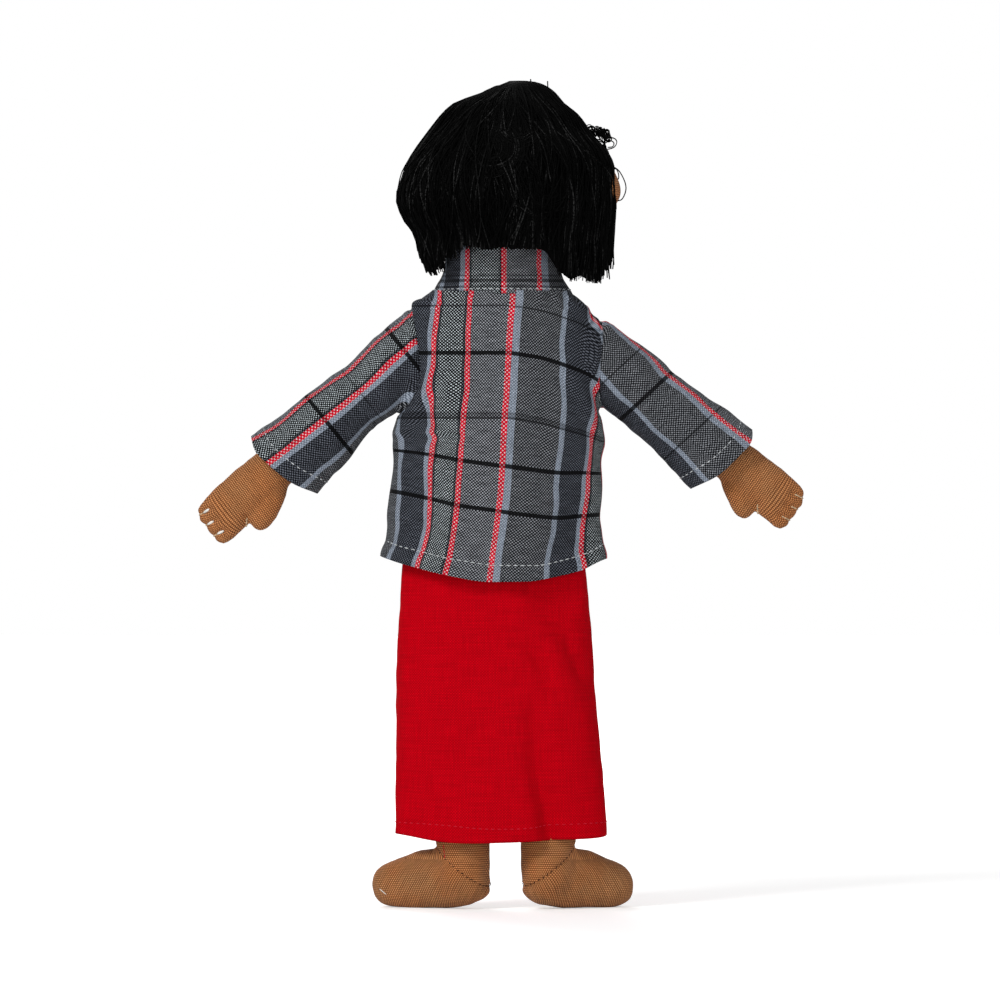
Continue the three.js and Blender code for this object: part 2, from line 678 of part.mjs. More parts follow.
const headGroup = new THREE.Group();
headGroup.rotation.z = radians(-headTurn);
const head = headPieces();
headGroup.add(
  piece('head_skin', head.skin, skinCloth),
  piece('head_stuffing', head.stuffing, filling),
  piece('eye_left', facePatch(eyeSpacing / 2, headMiddle + 2, eyeRadius, eyeRadius), eyeThread),
  piece('eye_right', facePatch(-eyeSpacing / 2, headMiddle + 2, eyeRadius, eyeRadius), eyeThread),
  piece('mouth', facePatch(0, headMiddle - 16, mouthWidth / 2, mouthHeight / 2), mouthThread),
);
for (const [name, shape] of Object.entries(hairPieces())) headGroup.add(piece(name, shape, hairThread));
doll.add(headGroup);

// The origin is on the ground, under the middle of the doll's box.
const middle = new THREE.Box3().setFromObject(doll, true).getCenter(new THREE.Vector3());
doll.position.set(-middle.x, -middle.y, 0);

export default doll;
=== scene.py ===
# Handloom rag doll: stuffed brown cotton, black thread hair, plaid jacket and straight red skirt.
# Lengths are written in millimetres and turned to metres when a point is placed.
import bisect
import json
import math
import random

import bmesh
import bpy
from mathutils import Matrix, Vector, noise
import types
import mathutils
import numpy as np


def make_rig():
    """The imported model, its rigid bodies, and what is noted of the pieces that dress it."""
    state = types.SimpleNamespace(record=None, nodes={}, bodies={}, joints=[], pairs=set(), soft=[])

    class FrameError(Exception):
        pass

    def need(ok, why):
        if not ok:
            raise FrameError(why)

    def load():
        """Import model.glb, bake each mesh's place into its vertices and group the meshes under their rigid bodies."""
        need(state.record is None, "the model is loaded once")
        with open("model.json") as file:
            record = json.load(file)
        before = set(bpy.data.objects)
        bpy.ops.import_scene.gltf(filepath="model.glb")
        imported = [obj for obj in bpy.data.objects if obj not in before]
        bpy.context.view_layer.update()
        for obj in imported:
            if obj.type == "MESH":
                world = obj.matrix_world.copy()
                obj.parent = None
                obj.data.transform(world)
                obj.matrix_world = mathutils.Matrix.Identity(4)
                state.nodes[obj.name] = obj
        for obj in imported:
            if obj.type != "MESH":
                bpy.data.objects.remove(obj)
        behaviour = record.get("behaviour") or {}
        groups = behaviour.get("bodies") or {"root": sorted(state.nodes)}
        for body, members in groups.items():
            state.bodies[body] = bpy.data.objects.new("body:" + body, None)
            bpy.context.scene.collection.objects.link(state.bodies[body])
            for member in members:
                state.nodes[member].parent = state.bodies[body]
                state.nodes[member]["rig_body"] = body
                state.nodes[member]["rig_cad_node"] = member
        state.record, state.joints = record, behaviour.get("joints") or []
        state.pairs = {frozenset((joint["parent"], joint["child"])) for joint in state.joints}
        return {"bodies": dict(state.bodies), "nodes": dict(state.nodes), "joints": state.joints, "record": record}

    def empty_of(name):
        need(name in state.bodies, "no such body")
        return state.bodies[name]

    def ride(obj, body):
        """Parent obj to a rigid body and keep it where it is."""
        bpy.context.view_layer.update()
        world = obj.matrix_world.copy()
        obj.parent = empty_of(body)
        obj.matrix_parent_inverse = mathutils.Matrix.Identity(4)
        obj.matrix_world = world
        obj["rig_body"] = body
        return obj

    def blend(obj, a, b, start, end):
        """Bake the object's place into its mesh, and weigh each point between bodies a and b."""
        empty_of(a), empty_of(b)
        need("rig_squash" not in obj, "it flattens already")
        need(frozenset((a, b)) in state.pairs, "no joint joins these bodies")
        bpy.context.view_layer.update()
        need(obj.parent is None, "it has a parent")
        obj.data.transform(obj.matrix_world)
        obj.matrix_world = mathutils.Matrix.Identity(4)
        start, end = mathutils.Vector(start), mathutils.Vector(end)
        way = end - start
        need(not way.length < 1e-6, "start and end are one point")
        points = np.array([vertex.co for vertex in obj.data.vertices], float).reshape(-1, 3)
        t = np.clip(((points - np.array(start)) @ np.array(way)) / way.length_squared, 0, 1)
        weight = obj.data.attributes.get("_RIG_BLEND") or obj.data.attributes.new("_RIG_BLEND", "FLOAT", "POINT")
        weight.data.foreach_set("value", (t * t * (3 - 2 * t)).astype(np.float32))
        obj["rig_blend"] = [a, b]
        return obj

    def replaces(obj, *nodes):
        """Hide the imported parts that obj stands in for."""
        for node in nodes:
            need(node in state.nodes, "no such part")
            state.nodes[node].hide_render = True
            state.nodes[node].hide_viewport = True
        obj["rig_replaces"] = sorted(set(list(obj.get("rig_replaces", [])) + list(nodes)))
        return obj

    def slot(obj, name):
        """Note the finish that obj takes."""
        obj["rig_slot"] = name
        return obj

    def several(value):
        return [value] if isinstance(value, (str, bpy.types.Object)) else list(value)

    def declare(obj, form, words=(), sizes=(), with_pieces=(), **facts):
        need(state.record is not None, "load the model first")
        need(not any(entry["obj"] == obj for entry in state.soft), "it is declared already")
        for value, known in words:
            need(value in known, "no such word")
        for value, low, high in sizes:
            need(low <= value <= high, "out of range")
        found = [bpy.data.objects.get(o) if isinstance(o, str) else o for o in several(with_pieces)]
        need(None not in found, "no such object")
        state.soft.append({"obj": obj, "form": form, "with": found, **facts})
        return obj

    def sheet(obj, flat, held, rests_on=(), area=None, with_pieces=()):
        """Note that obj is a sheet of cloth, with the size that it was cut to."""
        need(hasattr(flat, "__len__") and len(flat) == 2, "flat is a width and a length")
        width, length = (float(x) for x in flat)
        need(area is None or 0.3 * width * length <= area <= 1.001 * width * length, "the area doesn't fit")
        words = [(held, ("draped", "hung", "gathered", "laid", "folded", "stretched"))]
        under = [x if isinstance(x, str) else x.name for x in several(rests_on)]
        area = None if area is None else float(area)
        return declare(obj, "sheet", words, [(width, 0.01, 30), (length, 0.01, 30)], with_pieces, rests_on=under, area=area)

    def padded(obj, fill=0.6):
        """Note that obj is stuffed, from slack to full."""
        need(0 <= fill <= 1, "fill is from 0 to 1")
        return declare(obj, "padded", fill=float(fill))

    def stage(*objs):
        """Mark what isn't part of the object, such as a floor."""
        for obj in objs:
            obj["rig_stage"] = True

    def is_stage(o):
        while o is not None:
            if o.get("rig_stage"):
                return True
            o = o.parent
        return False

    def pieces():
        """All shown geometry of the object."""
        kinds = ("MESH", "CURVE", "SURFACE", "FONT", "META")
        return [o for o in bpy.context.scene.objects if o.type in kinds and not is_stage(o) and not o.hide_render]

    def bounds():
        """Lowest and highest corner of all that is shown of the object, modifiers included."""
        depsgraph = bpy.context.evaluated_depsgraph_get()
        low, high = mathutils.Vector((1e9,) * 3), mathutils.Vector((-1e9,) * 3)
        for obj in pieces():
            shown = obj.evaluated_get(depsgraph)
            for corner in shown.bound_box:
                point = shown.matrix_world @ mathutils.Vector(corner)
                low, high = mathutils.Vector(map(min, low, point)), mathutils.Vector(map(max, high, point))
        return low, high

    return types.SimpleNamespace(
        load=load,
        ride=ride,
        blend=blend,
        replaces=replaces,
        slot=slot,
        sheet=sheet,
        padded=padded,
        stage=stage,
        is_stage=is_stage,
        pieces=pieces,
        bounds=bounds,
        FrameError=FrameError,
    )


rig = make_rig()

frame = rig.load()
cadLow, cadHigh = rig.bounds()

mm = 0.001
neck = next(joint for joint in frame["joints"] if joint["name"] == "head_turn")
axisX, axisY = [length / mm for length in neck["pos_m"][:2]]  # the doll's middle line
sides = ((1, "left"), (-1, "right"))

# Camera and light
photo = dict(
    across=430,  # width of the doll's plane that the photograph shows
    middle=(1.99, 175.4),  # what is in the middle of it: across and up
    distance=3000,
    pixel=0.43,  # width that one pixel of the photograph shows
    foot=(501, 908),  # the pixel on the floor under the doll's middle
)
lamps = [  # place, size, strength, all aimed at the doll's chest
    ((1300, 1600, 1500), 600, 32.5),
    ((-1500, 1100, 400), 1200, 5),
    ((0, 2000, 120), 1200, 15),
    ((600, -2100, 1300), 1200, 27),
]
ambient = 0.29  # light of the white room round the doll

scene = bpy.context.scene
scene.view_settings.view_transform = "Standard"
camera = bpy.data.objects.new("camera", bpy.data.cameras.new("camera"))
scene.collection.objects.link(camera)
camera.data.sensor_width = 36
camera.data.lens = 36 * photo["distance"] / photo["across"]
camera.data.clip_end = 20
camera.location = Vector((photo["middle"][0], photo["distance"], photo["middle"][1])) * mm
camera.rotation_euler = (math.pi / 2, 0, math.pi)
scene.camera = camera

for index, (place, size, strength) in enumerate(lamps):
    light = bpy.data.lights.new(f"softbox_{index + 1}", "AREA")
    light.size = size * mm
    light.energy = strength
    lamp = bpy.data.objects.new(light.name, light)
    lamp.location = Vector(place) * mm
    lamp.rotation_euler = (Vector((0, 0, 180)) * mm - lamp.location).to_track_quat("-Z", "Y").to_euler()
    scene.collection.objects.link(lamp)


def linear(hexColour):
    channels = [int(hexColour[i:i + 2], 16) / 255 for i in (1, 3, 5)]
    return (*[c / 12.92 if c <= 0.04045 else ((c + 0.055) / 1.055) ** 2.4 for c in channels], 1)


# Adds a node. Inputs are values, sockets, or nodes whose first output is meant. Stops fill a colour
# ramp, and the rest are the node's settings.
def node(tree, kind, inputs=None, stops=None, **settings):
    made = tree.nodes.new("ShaderNode" + kind)
    for key, value in settings.items():
        setattr(made, key, value)
    for key, value in (inputs or {}).items():
        if isinstance(value, bpy.types.Node):
            value = value.outputs[0]
        if isinstance(value, bpy.types.NodeSocket):
            tree.links.new(value, made.inputs[key])
        else:
            made.inputs[key].default_value = value
    if stops:
        points = made.color_ramp.elements
        while len(points) < len(stops):
            points.new(1)
        for point, (place, colour) in zip(points, stops):
            point.position = place
        for point, (place, colour) in zip(points, stops):
            point.color = linear(colour) if isinstance(colour, str) else (colour, colour, colour, 1)
    return made


def material(name, roughness, **shine):
    made = bpy.data.materials.new(name)
    made.use_nodes = True
    tree = made.node_tree
    tree.nodes.clear()
    shader = node(tree, "BsdfPrincipled", {"Roughness": roughness, "IOR": 1.5, **shine})
    node(tree, "OutputMaterial", {"Surface": shader})
    return made, tree, shader


# Stage: a white floor that keeps the doll's shadow, in a white room
room = bpy.data.worlds.new("room")
scene.world = room
room.use_nodes = True
tree = room.node_tree
tree.nodes.clear()
path = node(tree, "LightPath")
seen = node(tree, "Math", {0: path.outputs["Is Camera Ray"], 1: path.outputs["Is Glossy Ray"]}, operation="MAXIMUM")
seen = node(tree, "Math", {0: seen, 1: path.outputs["Is Transmission Ray"]}, operation="MAXIMUM")
level = node(tree, "MapRange", {0: seen, 3: ambient, 4: 1.0})
sky = node(tree, "Background", {"Color": (1, 1, 1, 1), "Strength": level})
node(tree, "OutputWorld", {"Surface": sky})

paper, tree, shader = material("white_paper", 0.9)
shader.inputs["Base Color"].default_value = linear("#f4f4f4")
shader.inputs["Emission Color"].default_value = (1, 1, 1, 1)
# Far from the doll the paper glows into the white of the room, so that no horizon shows.
path = node(tree, "LightPath")
away = node(tree, "VectorMath", {0: node(tree, "TexCoord").outputs["Object"]}, operation="LENGTH").outputs["Value"]
glow = node(tree, "MapRange", {0: away, 1: 0.25, 2: 1.3, 3: 0.35, 4: 0.9}, interpolation_type="SMOOTHSTEP")
seen = node(tree, "Math", {0: path.outputs["Is Camera Ray"], 1: glow}, operation="MULTIPLY")
tree.links.new(seen.outputs[0], shader.inputs["Emission Strength"])
bm = bmesh.new()
bmesh.ops.create_grid(bm, x_segments=1, y_segments=1, size=6)
floorMesh = bpy.data.meshes.new("floor")
bm.to_mesh(floorMesh)
bm.free()
floor = bpy.data.objects.new("floor", floorMesh)
floorMesh.materials.append(paper)
scene.collection.objects.link(floor)
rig.stage(floor)
print("stage: camera, lamps, floor")


# Materials

# Thread heights of a plain weave, from the cloth's own UV in millimetres.
def weave(tree, across, along, pitch, soft=0.35, more=0.0):
    waves = []
    for place in (across, along):
        turned = node(tree, "Math", {0: place, 1: math.pi / pitch}, operation="MULTIPLY")
        waves.append(node(tree, "Math", {0: turned}, operation="SINE"))
    both = node(tree, "Math", {0: waves[0], 1: waves[1]}, operation="MULTIPLY")
    biased = node(tree, "Math", {0: both, 1: more}, operation="ADD")
    over = node(tree, "MapRange", {0: biased, 1: -soft, 2: soft}, interpolation_type="SMOOTHSTEP")
    return over, node(tree, "Math", {0: both}, operation="ABSOLUTE")


def clothCoordinates(tree):
    uv = node(tree, "UVMap", uv_map="cloth")
    return node(tree, "SeparateXYZ", {0: uv}).outputs


def roughen(tree, shader, height, depth, strength=0.6):
    bump = node(tree, "Bump", {"Height": height, "Distance": depth * mm, "Strength": strength})
    tree.links.new(bump.outputs[0], shader.inputs["Normal"])


def mixed(tree, factor, low, high, how="MIX"):
    made = node(tree, "Mix", {0: factor, 6: low, 7: high}, data_type="RGBA", blend_type=how)
    return made.outputs[2]


# Uneven hand-spun thread: light and dark lengths drawn out along the thread.
def threadShade(tree, across, along, width, length, low, high):
    wide = node(tree, "Math", {0: across, 1: 1 / width}, operation="MULTIPLY")
    long = node(tree, "Math", {0: along, 1: 1 / length}, operation="MULTIPLY")
    place = node(tree, "CombineXYZ", {0: wide, 1: long})
    grain = node(tree, "TexNoise", {"Vector": place, "Scale": 1.0, "Detail": 2.0})
    return node(tree, "MapRange", {0: grain, 1: 0.3, 2: 0.7, 3: low, 4: high})


# Brown cotton calico with thick threads, 11 to the centimetre, so each is wide enough to be seen.
def brownCotton():
    made, tree, shader = material("brown_plain_woven_cotton", 0.95,
                                  **{"Sheen Weight": 0.05, "Specular IOR Level": 0.12})
    pitch = 0.93
    across, along, _ = clothCoordinates(tree)
    row = node(tree, "Math", {0: along, 1: 1 / pitch}, operation="MULTIPLY")
    row = node(tree, "Math", {0: row}, operation="FLOOR")
    shifted = node(tree, "Math", {0: row, 1: pitch / 2, 2: across}, operation="MULTIPLY_ADD")
    _, height = weave(tree, shifted, along, pitch)
    tops = node(tree, "MapRange", {0: height, 1: 0.05, 2: 0.75})
    shade = threadShade(tree, along, across, 1.1, 14, 0.84, 1.16)
    cloudy = node(tree, "TexNoise", {"Vector": node(tree, "TexCoord").outputs["Object"], "Scale": 55.0,
                                     "Detail": 3.0})
    lit = mixed(tree, node(tree, "MapRange", {0: cloudy, 1: 0.35, 2: 0.68}), linear("#c98450"), linear("#bd885a"))
    # Painted shade: the hollows of the weave between the thread tops are coloured dark brown.
    cloth = mixed(tree, tops, linear("#54290f"), lit)
    cloth = mixed(tree, 1.0, cloth, shade, "MULTIPLY")
    tree.links.new(cloth, shader.inputs["Base Color"])
    roughen(tree, shader, tops, 0.35)
    return made


# Handloom cotton, 18 threads to the centimetre. The warp changes colour in stripes and the weft
# has black lines across. Each kind of stripe has a warp colour and a weft colour.
threads = {
    "red": ("#b60a22", "#ceb4b8", 0.5),
    "coarse": ("#040506", "#bac3c7", 0.42),
    "edge": ("#050507", "#666b70", 0.4),
    "fine": ("#121417", "#94979d", 0.22),
    "blue": ("#5b6470", "#979fac", 0.1),
    "dark": ("#0d0e12", "#818489", 0.28),
    "navy": ("#0a0c11", "#5c6069", 0.25),
}
# Widths of the stripes in millimetres, from a red one to the next red one of the same kind
stripes = [
    ("red", 2.1), ("edge", 1.0), ("coarse", 9.1), ("edge", 1.0), ("red", 2.2), ("fine", 15.5), ("red", 2.6),
    ("blue", 3.0), ("dark", 18.0), ("blue", 2.5), ("navy", 11.3), ("blue", 2.0),
]
collarStripes = [
    ("red", 2.2), ("edge", 0.8), ("coarse", 12.2), ("edge", 0.8), ("red", 2.2), ("fine", 13.7), ("red", 2.2),
    ("blue", 3.4), ("dark", 18.0), ("blue", 2.4), ("navy", 10.0), ("blue", 2.6),
]


def plaidCotton(name, bands, wefts):
    made, tree, shader = material(name, 0.95, **{"Specular IOR Level": 0.08})
    across, along, _ = clothCoordinates(tree)
    repeat = sum(width for _, width in bands)
    share = node(tree, "Math", {0: across, 1: 1 / repeat}, operation="MULTIPLY")
    share = node(tree, "Math", {0: share}, operation="FRACT")
    starts, edge = [], 0
    for kind, width in bands:
        starts.append((edge / repeat, kind))
        edge += width
    ramps = []
    for part in range(4):
        stops = [(place, (*threads[kind], float(kind == "red"))[part]) for place, kind in starts]
        ramps.append(node(tree, "ValToRGB", {0: share}, stops))
        ramps[-1].color_ramp.interpolation = "CONSTANT"
    warp, weft, more, isRed = ramps
    # A thread of 0.56 mm is little over a pixel of the photograph, so it is drawn at 0.66 to show.
    # The red stripes are woven in pairs of threads, which makes their checks wider.
    sway = node(tree, "TexNoise", {"Vector": node(tree, "CombineXYZ", {0: across, 1: along}), "Scale": 0.3,
                                   "Detail": 2.0})
    swayed = node(tree, "Math", {0: sway, 1: 0.9, 2: across}, operation="MULTIPLY_ADD")
    over, height = weave(tree, swayed, along, 0.66, 0.3, more)
    wide, _ = weave(tree, across, along, 0.85, 0.3, 0.45)
    over = node(tree, "Mix", {0: isRed, 2: over, 3: wide})
    warpCloth = mixed(tree, 1.0, warp, threadShade(tree, across, along, 0.7, 7, 0.6, 1.4), "MULTIPLY")
    weftCloth = mixed(tree, 1.0, weft, threadShade(tree, along, across, 0.7, 7, 0.6, 1.4), "MULTIPLY")
    cloth = mixed(tree, over, weftCloth, warpCloth)
    # Black weft lines: their place, their width and how solid they are
    lines = None
    for place, width, solid in wefts:
        line = node(tree, "Math", {0: along, 1: place, 2: width / 2}, operation="COMPARE")
        line = node(tree, "Math", {0: line, 1: solid}, operation="MULTIPLY")
        lines = node(tree, "Math", {0: line, 1: lines}, operation="MAXIMUM") if lines else line
    # Red warp threads still show where they pass over a black weft.
    shown = node(tree, "Math", {0: isRed, 1: -0.45, 2: 1.0}, operation="MULTIPLY_ADD")
    dark = node(tree, "Math", {0: lines, 1: shown}, operation="MULTIPLY")
    cloth = mixed(tree, dark, cloth, linear("#020203"))
    tree.links.new(cloth, shader.inputs["Base Color"])
    roughen(tree, shader, height, 0.22)
    return made


# Slubby handloom cotton, dyed red. Its threads of 0.45 mm are drawn at 0.6 so that they show.
def redCotton():
    made, tree, shader = material("red_handloom_cotton", 0.95, **{"Specular IOR Level": 0.03})
    across, along, _ = clothCoordinates(tree)
    over, height = weave(tree, across, along, 0.6)
    warpShade = threadShade(tree, across, along, 0.6, 12, 0.9, 1.09)
    weftShade = threadShade(tree, along, across, 0.6, 16, 0.88, 1.09)
    shade = node(tree, "Math", {0: warpShade, 1: weftShade}, operation="MULTIPLY")
    # Painted shade: the hollows of the weave between the threads are darkened.
    weaveShade = node(tree, "MapRange", {0: height, 3: 0.86, 4: 1.06})
    shade = node(tree, "Math", {0: shade, 1: weaveShade}, operation="MULTIPLY")
    cloth = mixed(tree, over, linear("#c90012"), linear("#a2000e"))
    cloth = mixed(tree, 1.0, cloth, shade, "MULTIPLY")
    tree.links.new(cloth, shader.inputs["Base Color"])
    roughen(tree, shader, height, 0.15)
    return made


# Matt cotton thread. Its ply shows as fine light and dark flecks.
def thread(name, hexColour, roughness=0.85, fleck=0.25, grain=900.0):
    made, tree, shader = material(name, roughness, **{"Specular IOR Level": 0.2})
    flecks = node(tree, "TexNoise", {"Vector": node(tree, "TexCoord").outputs["Object"], "Scale": grain,
                                     "Detail": 2.0})
    shade = node(tree, "MapRange", {0: flecks, 1: 0.3, 2: 0.7, 3: 1 - fleck, 4: 1 + fleck})
    colour = mixed(tree, 1.0, linear(hexColour), shade, "MULTIPLY")
    tree.links.new(colour, shader.inputs["Base Color"])
    roughen(tree, shader, flecks, 0.08)
    return made


# Black plied thread with painted glints: along part of the length the colour lightens in dots, standing in for the
# light that the ply catches. The lit threads have the brightest dots.
def hairCotton(name, base, lit):
    made, tree, shader = material(name, 0.8, **{"Specular IOR Level": 0.04})
    place = node(tree, "TexCoord").outputs["Object"]
    part = node(tree, "TexNoise", {"Vector": place, "Scale": 55.0, "Detail": 1.0})
    ply = node(tree, "TexNoise", {"Vector": place, "Scale": 1300.0, "Detail": 1.0})
    bright = node(tree, "MapRange", {0: part, 1: 0.42, 2: 0.6, 3: 0.15})
    dots = node(tree, "MapRange", {0: ply, 1: 0.38, 2: 0.66})
    both = node(tree, "Math", {0: bright, 1: dots}, operation="MULTIPLY")
    tree.links.new(mixed(tree, both, linear(base), linear(lit)), shader.inputs["Base Color"])
    roughen(tree, shader, ply, 0.1)
    return made


skinCloth = brownCotton()
redCloth = redCotton()
hairThread = hairCotton("black_cotton_hair_thread", "#000000", "#050505")
# The lit threads: their #303030 dots are brighter painted glints on the black thread.
litThread = hairCotton("worn_black_cotton_hair_thread", "#050505", "#303030")
whiteThread = thread("white_sewing_cotton", "#d9d6ce")
creamThread = thread("cream_sewing_cotton", "#b9a182")
greyThread = thread("pale_grey_sewing_cotton", "#b4b8ba")
darkThread = thread("dark_brown_sewing_cotton", "#2b1408")
redThread = thread("red_sewing_cotton", "#b81226")
eyeCotton = thread("dark_embroidery_cotton", "#15110f", 0.5)
lipCotton = thread("red_embroidery_cotton", "#8e2a22", 0.6)
elasticWeb = thread("white_knitted_elastic", "#e4e0d6", 0.9, 0.15, 700.0)
buttonPlastic, tree, shader = material("moulded_polyester", 0.35)
swirl = node(tree, "TexNoise", {"Vector": node(tree, "TexCoord").outputs["Object"], "Scale": 240.0, "Detail": 3.0,
                                "Distortion": 1.5})
tree.links.new(mixed(tree, swirl.outputs[0], linear("#1b1b1f"), linear("#34343a")), shader.inputs["Base Color"])
print("materials")


# Shapes

# Reads a table of rows, sorted by their first value, with smooth curves between the rows.
def readRow(rows, at):
    keys = [row[0] for row in rows]
    if at <= keys[0]:
        return rows[0][1:]
    if at >= keys[-1]:
        return rows[-1][1:]
    i = bisect.bisect_right(keys, at) - 1
    step = keys[i + 1] - keys[i]
    t = (at - keys[i]) / step
    values = []
    for k in range(1, len(rows[0])):
        slopes = [(rows[j + 1][k] - rows[j][k]) / (keys[j + 1] - keys[j]) for j in range(len(rows) - 1)]
        tangents = []
        for j in (i, i + 1):
            low, high = slopes[max(j - 1, 0)], slopes[min(j, len(slopes) - 1)]
            tangents.append(0 if low * high <= 0 else 2 * low * high / (low + high))
        a, b = rows[i][k], rows[i + 1][k]
        values.append((2 * t ** 3 - 3 * t ** 2 + 1) * a + (t ** 3 - 2 * t ** 2 + t) * step * tangents[0]
                      + (3 * t ** 2 - 2 * t ** 3) * b + (t ** 3 - t ** 2) * step * tangents[1])
    return values


def spread(low, high, count):
    return [low + (high - low) * i / (count - 1) for i in range(count)]


def clamp(value, low=0, high=1):
    return min(max(value, low), high)


# Rises smoothly from 0 at low to 1 at high.
def fade(value, low, high):
    t = clamp((value - low) / (high - low))
    return t * t * (3 - 2 * t)


# The angle between two directions, in degrees
def between(a, b):
    return abs((a - b + 180) % 360 - 180)


# A round rise of height 1 and the given width round a middle.
def hump(value, width, middle=0):
    return math.exp(-((value - middle) / width) ** 2)


def rounded(turn, square):
    c, s = math.cos(turn), math.sin(turn)
    return math.copysign(abs(c) ** (2 / square), c), math.copysign(abs(s) ** (2 / square), s)


def rumple(point, size, depth, seed=0.0):
    return depth * noise.noise(Vector(point) / size + Vector((seed, seed * 1.7, -seed)))


# Sweeps a ring of cloth through heights. place(turn, height) gives a point in millimetres. The UV map
# "cloth" is in millimetres: round the ring from the middle of the back, and up it.
def sweep(place, heights, sides, closed=False):
    bm = bmesh.new()
    turnLayer = bm.verts.layers.float.new("turn")
    acrossLayer = bm.verts.layers.float.new("across")
    roundLayer = bm.verts.layers.float.new("round")
    alongLayer = bm.verts.layers.float.new("along")
    ring = bmesh.ops.create_circle(bm, cap_ends=False, segments=sides, radius=1)["verts"]
    for i, vert in enumerate(sorted(ring, key=lambda v: math.atan2(v.co.y, v.co.x) % (2 * math.pi))):
        vert[turnLayer] = i
    edges = list(bm.edges)
    first = edges
    start, zero = round(0.75 * sides), round(0.25 * sides)
    for step, height in enumerate(heights):
        if step:
            grown = bmesh.ops.extrude_edge_only(bm, edges=edges)["geom"]
            ring = [g for g in grown if isinstance(g, bmesh.types.BMVert)]
            fresh = set(ring)
            edges = [g for g in grown if isinstance(g, bmesh.types.BMEdge) and fresh.issuperset(g.verts)]
        ordered = sorted(ring, key=lambda v: v[turnLayer])
        ordered = ordered[start:] + ordered[:start]
        points = [Vector(place(2 * math.pi * round(v[turnLayer]) / sides, height)) for v in ordered]
        lengths = [0.0]
        for a, b in zip(points, points[1:] + points[:1]):
            lengths.append(lengths[-1] + (b - a).length)
        for vert, point, length in zip(ordered, points, lengths):
            vert.co = point * mm
            vert[acrossLayer] = length - lengths[(zero - start) % sides]
            vert[roundLayer] = lengths[-1]
            vert[alongLayer] = height
    if closed:
        for loop in (first, edges):
            bmesh.ops.holes_fill(bm, edges=loop, sides=sides + 2)
    uvLayer = bm.loops.layers.uv.new("cloth")
    for face in bm.faces:
        orders = [(round(loop.vert[turnLayer]) - start) % sides for loop in face.loops]
        wraps = max(orders) - min(orders) > sides / 2 and len(face.verts) < 5
        for loop, order in zip(face.loops, orders):
            more = loop.vert[roundLayer] if wraps and order < sides / 2 else 0
            loop[uvLayer].uv = (loop.vert[acrossLayer] + more, loop.vert[alongLayer])
    bmesh.ops.recalc_face_normals(bm, faces=bm.faces)
    return bm


# Turns a finished bmesh into a smooth-shaded object of one material.
def pieceOf(name, bm, cloth):
    mesh = bpy.data.meshes.new(name)
    bm.to_mesh(mesh)
    bm.free()
    mesh.materials.append(cloth)
    mesh.shade_smooth()
    made = bpy.data.objects.new(name, mesh)
    scene.collection.objects.link(made)
    return made


def applied(piece):
    mesh = bpy.data.meshes.new_from_object(piece.evaluated_get(bpy.context.evaluated_depsgraph_get()))
    piece.modifiers.clear()
    piece.data = mesh
    return piece


def thicken(piece, wall):
    solid = piece.modifiers.new("cloth thickness", "SOLIDIFY")
    solid.thickness = wall * mm
    solid.offset = -1
    return applied(piece)


# Says which body carries a piece, whose colour it takes, what it stands for and how full it is stuffed.
def dress(made, body, slot, *nodes, fill=None):
    if nodes:
        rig.replaces(made, *nodes)
    if body:
        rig.ride(made, body)
    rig.slot(made, slot)
    if fill:
        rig.padded(made, fill=fill)


# Cuts away what lies behind a plane, of the whole mesh or of the part that where(x, y, z) names.
def keepSide(bm, point, normal, where=None):
    geom = bm.verts[:] + bm.edges[:] + bm.faces[:]
    if where:
        kept = {v for v in bm.verts if where(v.co.x / mm - axisX, v.co.y / mm - axisY, v.co.z / mm)}
        geom = [g for g in geom if kept.issuperset([g] if isinstance(g, bmesh.types.BMVert) else g.verts)]
    cut = bmesh.ops.bisect_plane(bm, geom=geom, plane_co=Vector(point) * mm, plane_no=normal, clear_inner=True)
    return [g for g in cut["geom_cut"] if isinstance(g, bmesh.types.BMEdge)]


# A row of sewn stitches: each is a short thread, set by its middle, direction and length.
def stitches(name, rows, thickness, cloth, body, slot):
    bm = bmesh.new()
    for middle, along, length, outward in rows:
        along, outward = Vector(along).normalized(), Vector(outward).normalized()
        sideways = outward.cross(along).normalized()
        turned = Matrix((along, sideways, sideways.cross(along) * -1)).transposed().to_4x4()
        sized = Matrix.Diagonal((length / 2 * mm, thickness / 2 * mm, thickness / 2 * mm, 1))
        laid = Matrix.Translation(Vector(middle) * mm) @ turned @ sized @ Matrix.Rotation(math.pi / 2, 4, "Y")
        bmesh.ops.create_uvsphere(bm, u_segments=6, v_segments=4, radius=1, matrix=laid)
    bmesh.ops.recalc_face_normals(bm, faces=bm.faces)
    made = pieceOf(name, bm, cloth)
    dress(made, body, slot)
    return made


# Joins overlapping forms into one skin, as a stuffed piece is, and smooths it.
def stuffed(name, parts, cloth, voxel, smoothing=4):
    bm = bmesh.new()
    for part in parts:
        mesh = bpy.data.meshes.new("part")
        part.to_mesh(mesh)
        part.free()
        bm.from_mesh(mesh)
        bpy.data.meshes.remove(mesh)
    made = pieceOf(name, bm, cloth)
    remesh = made.modifiers.new("one skin", "REMESH")
    remesh.mode = "VOXEL"
    remesh.voxel_size = voxel * mm
    applied(made)
    bm = bmesh.new()
    bm.from_mesh(made.data)
    for _ in range(smoothing):
        bmesh.ops.smooth_vert(bm, verts=bm.verts, factor=0.5,
                              use_axis_x=True, use_axis_y=True, use_axis_z=True)
    bm.to_mesh(made.data)
    bm.free()
    return made


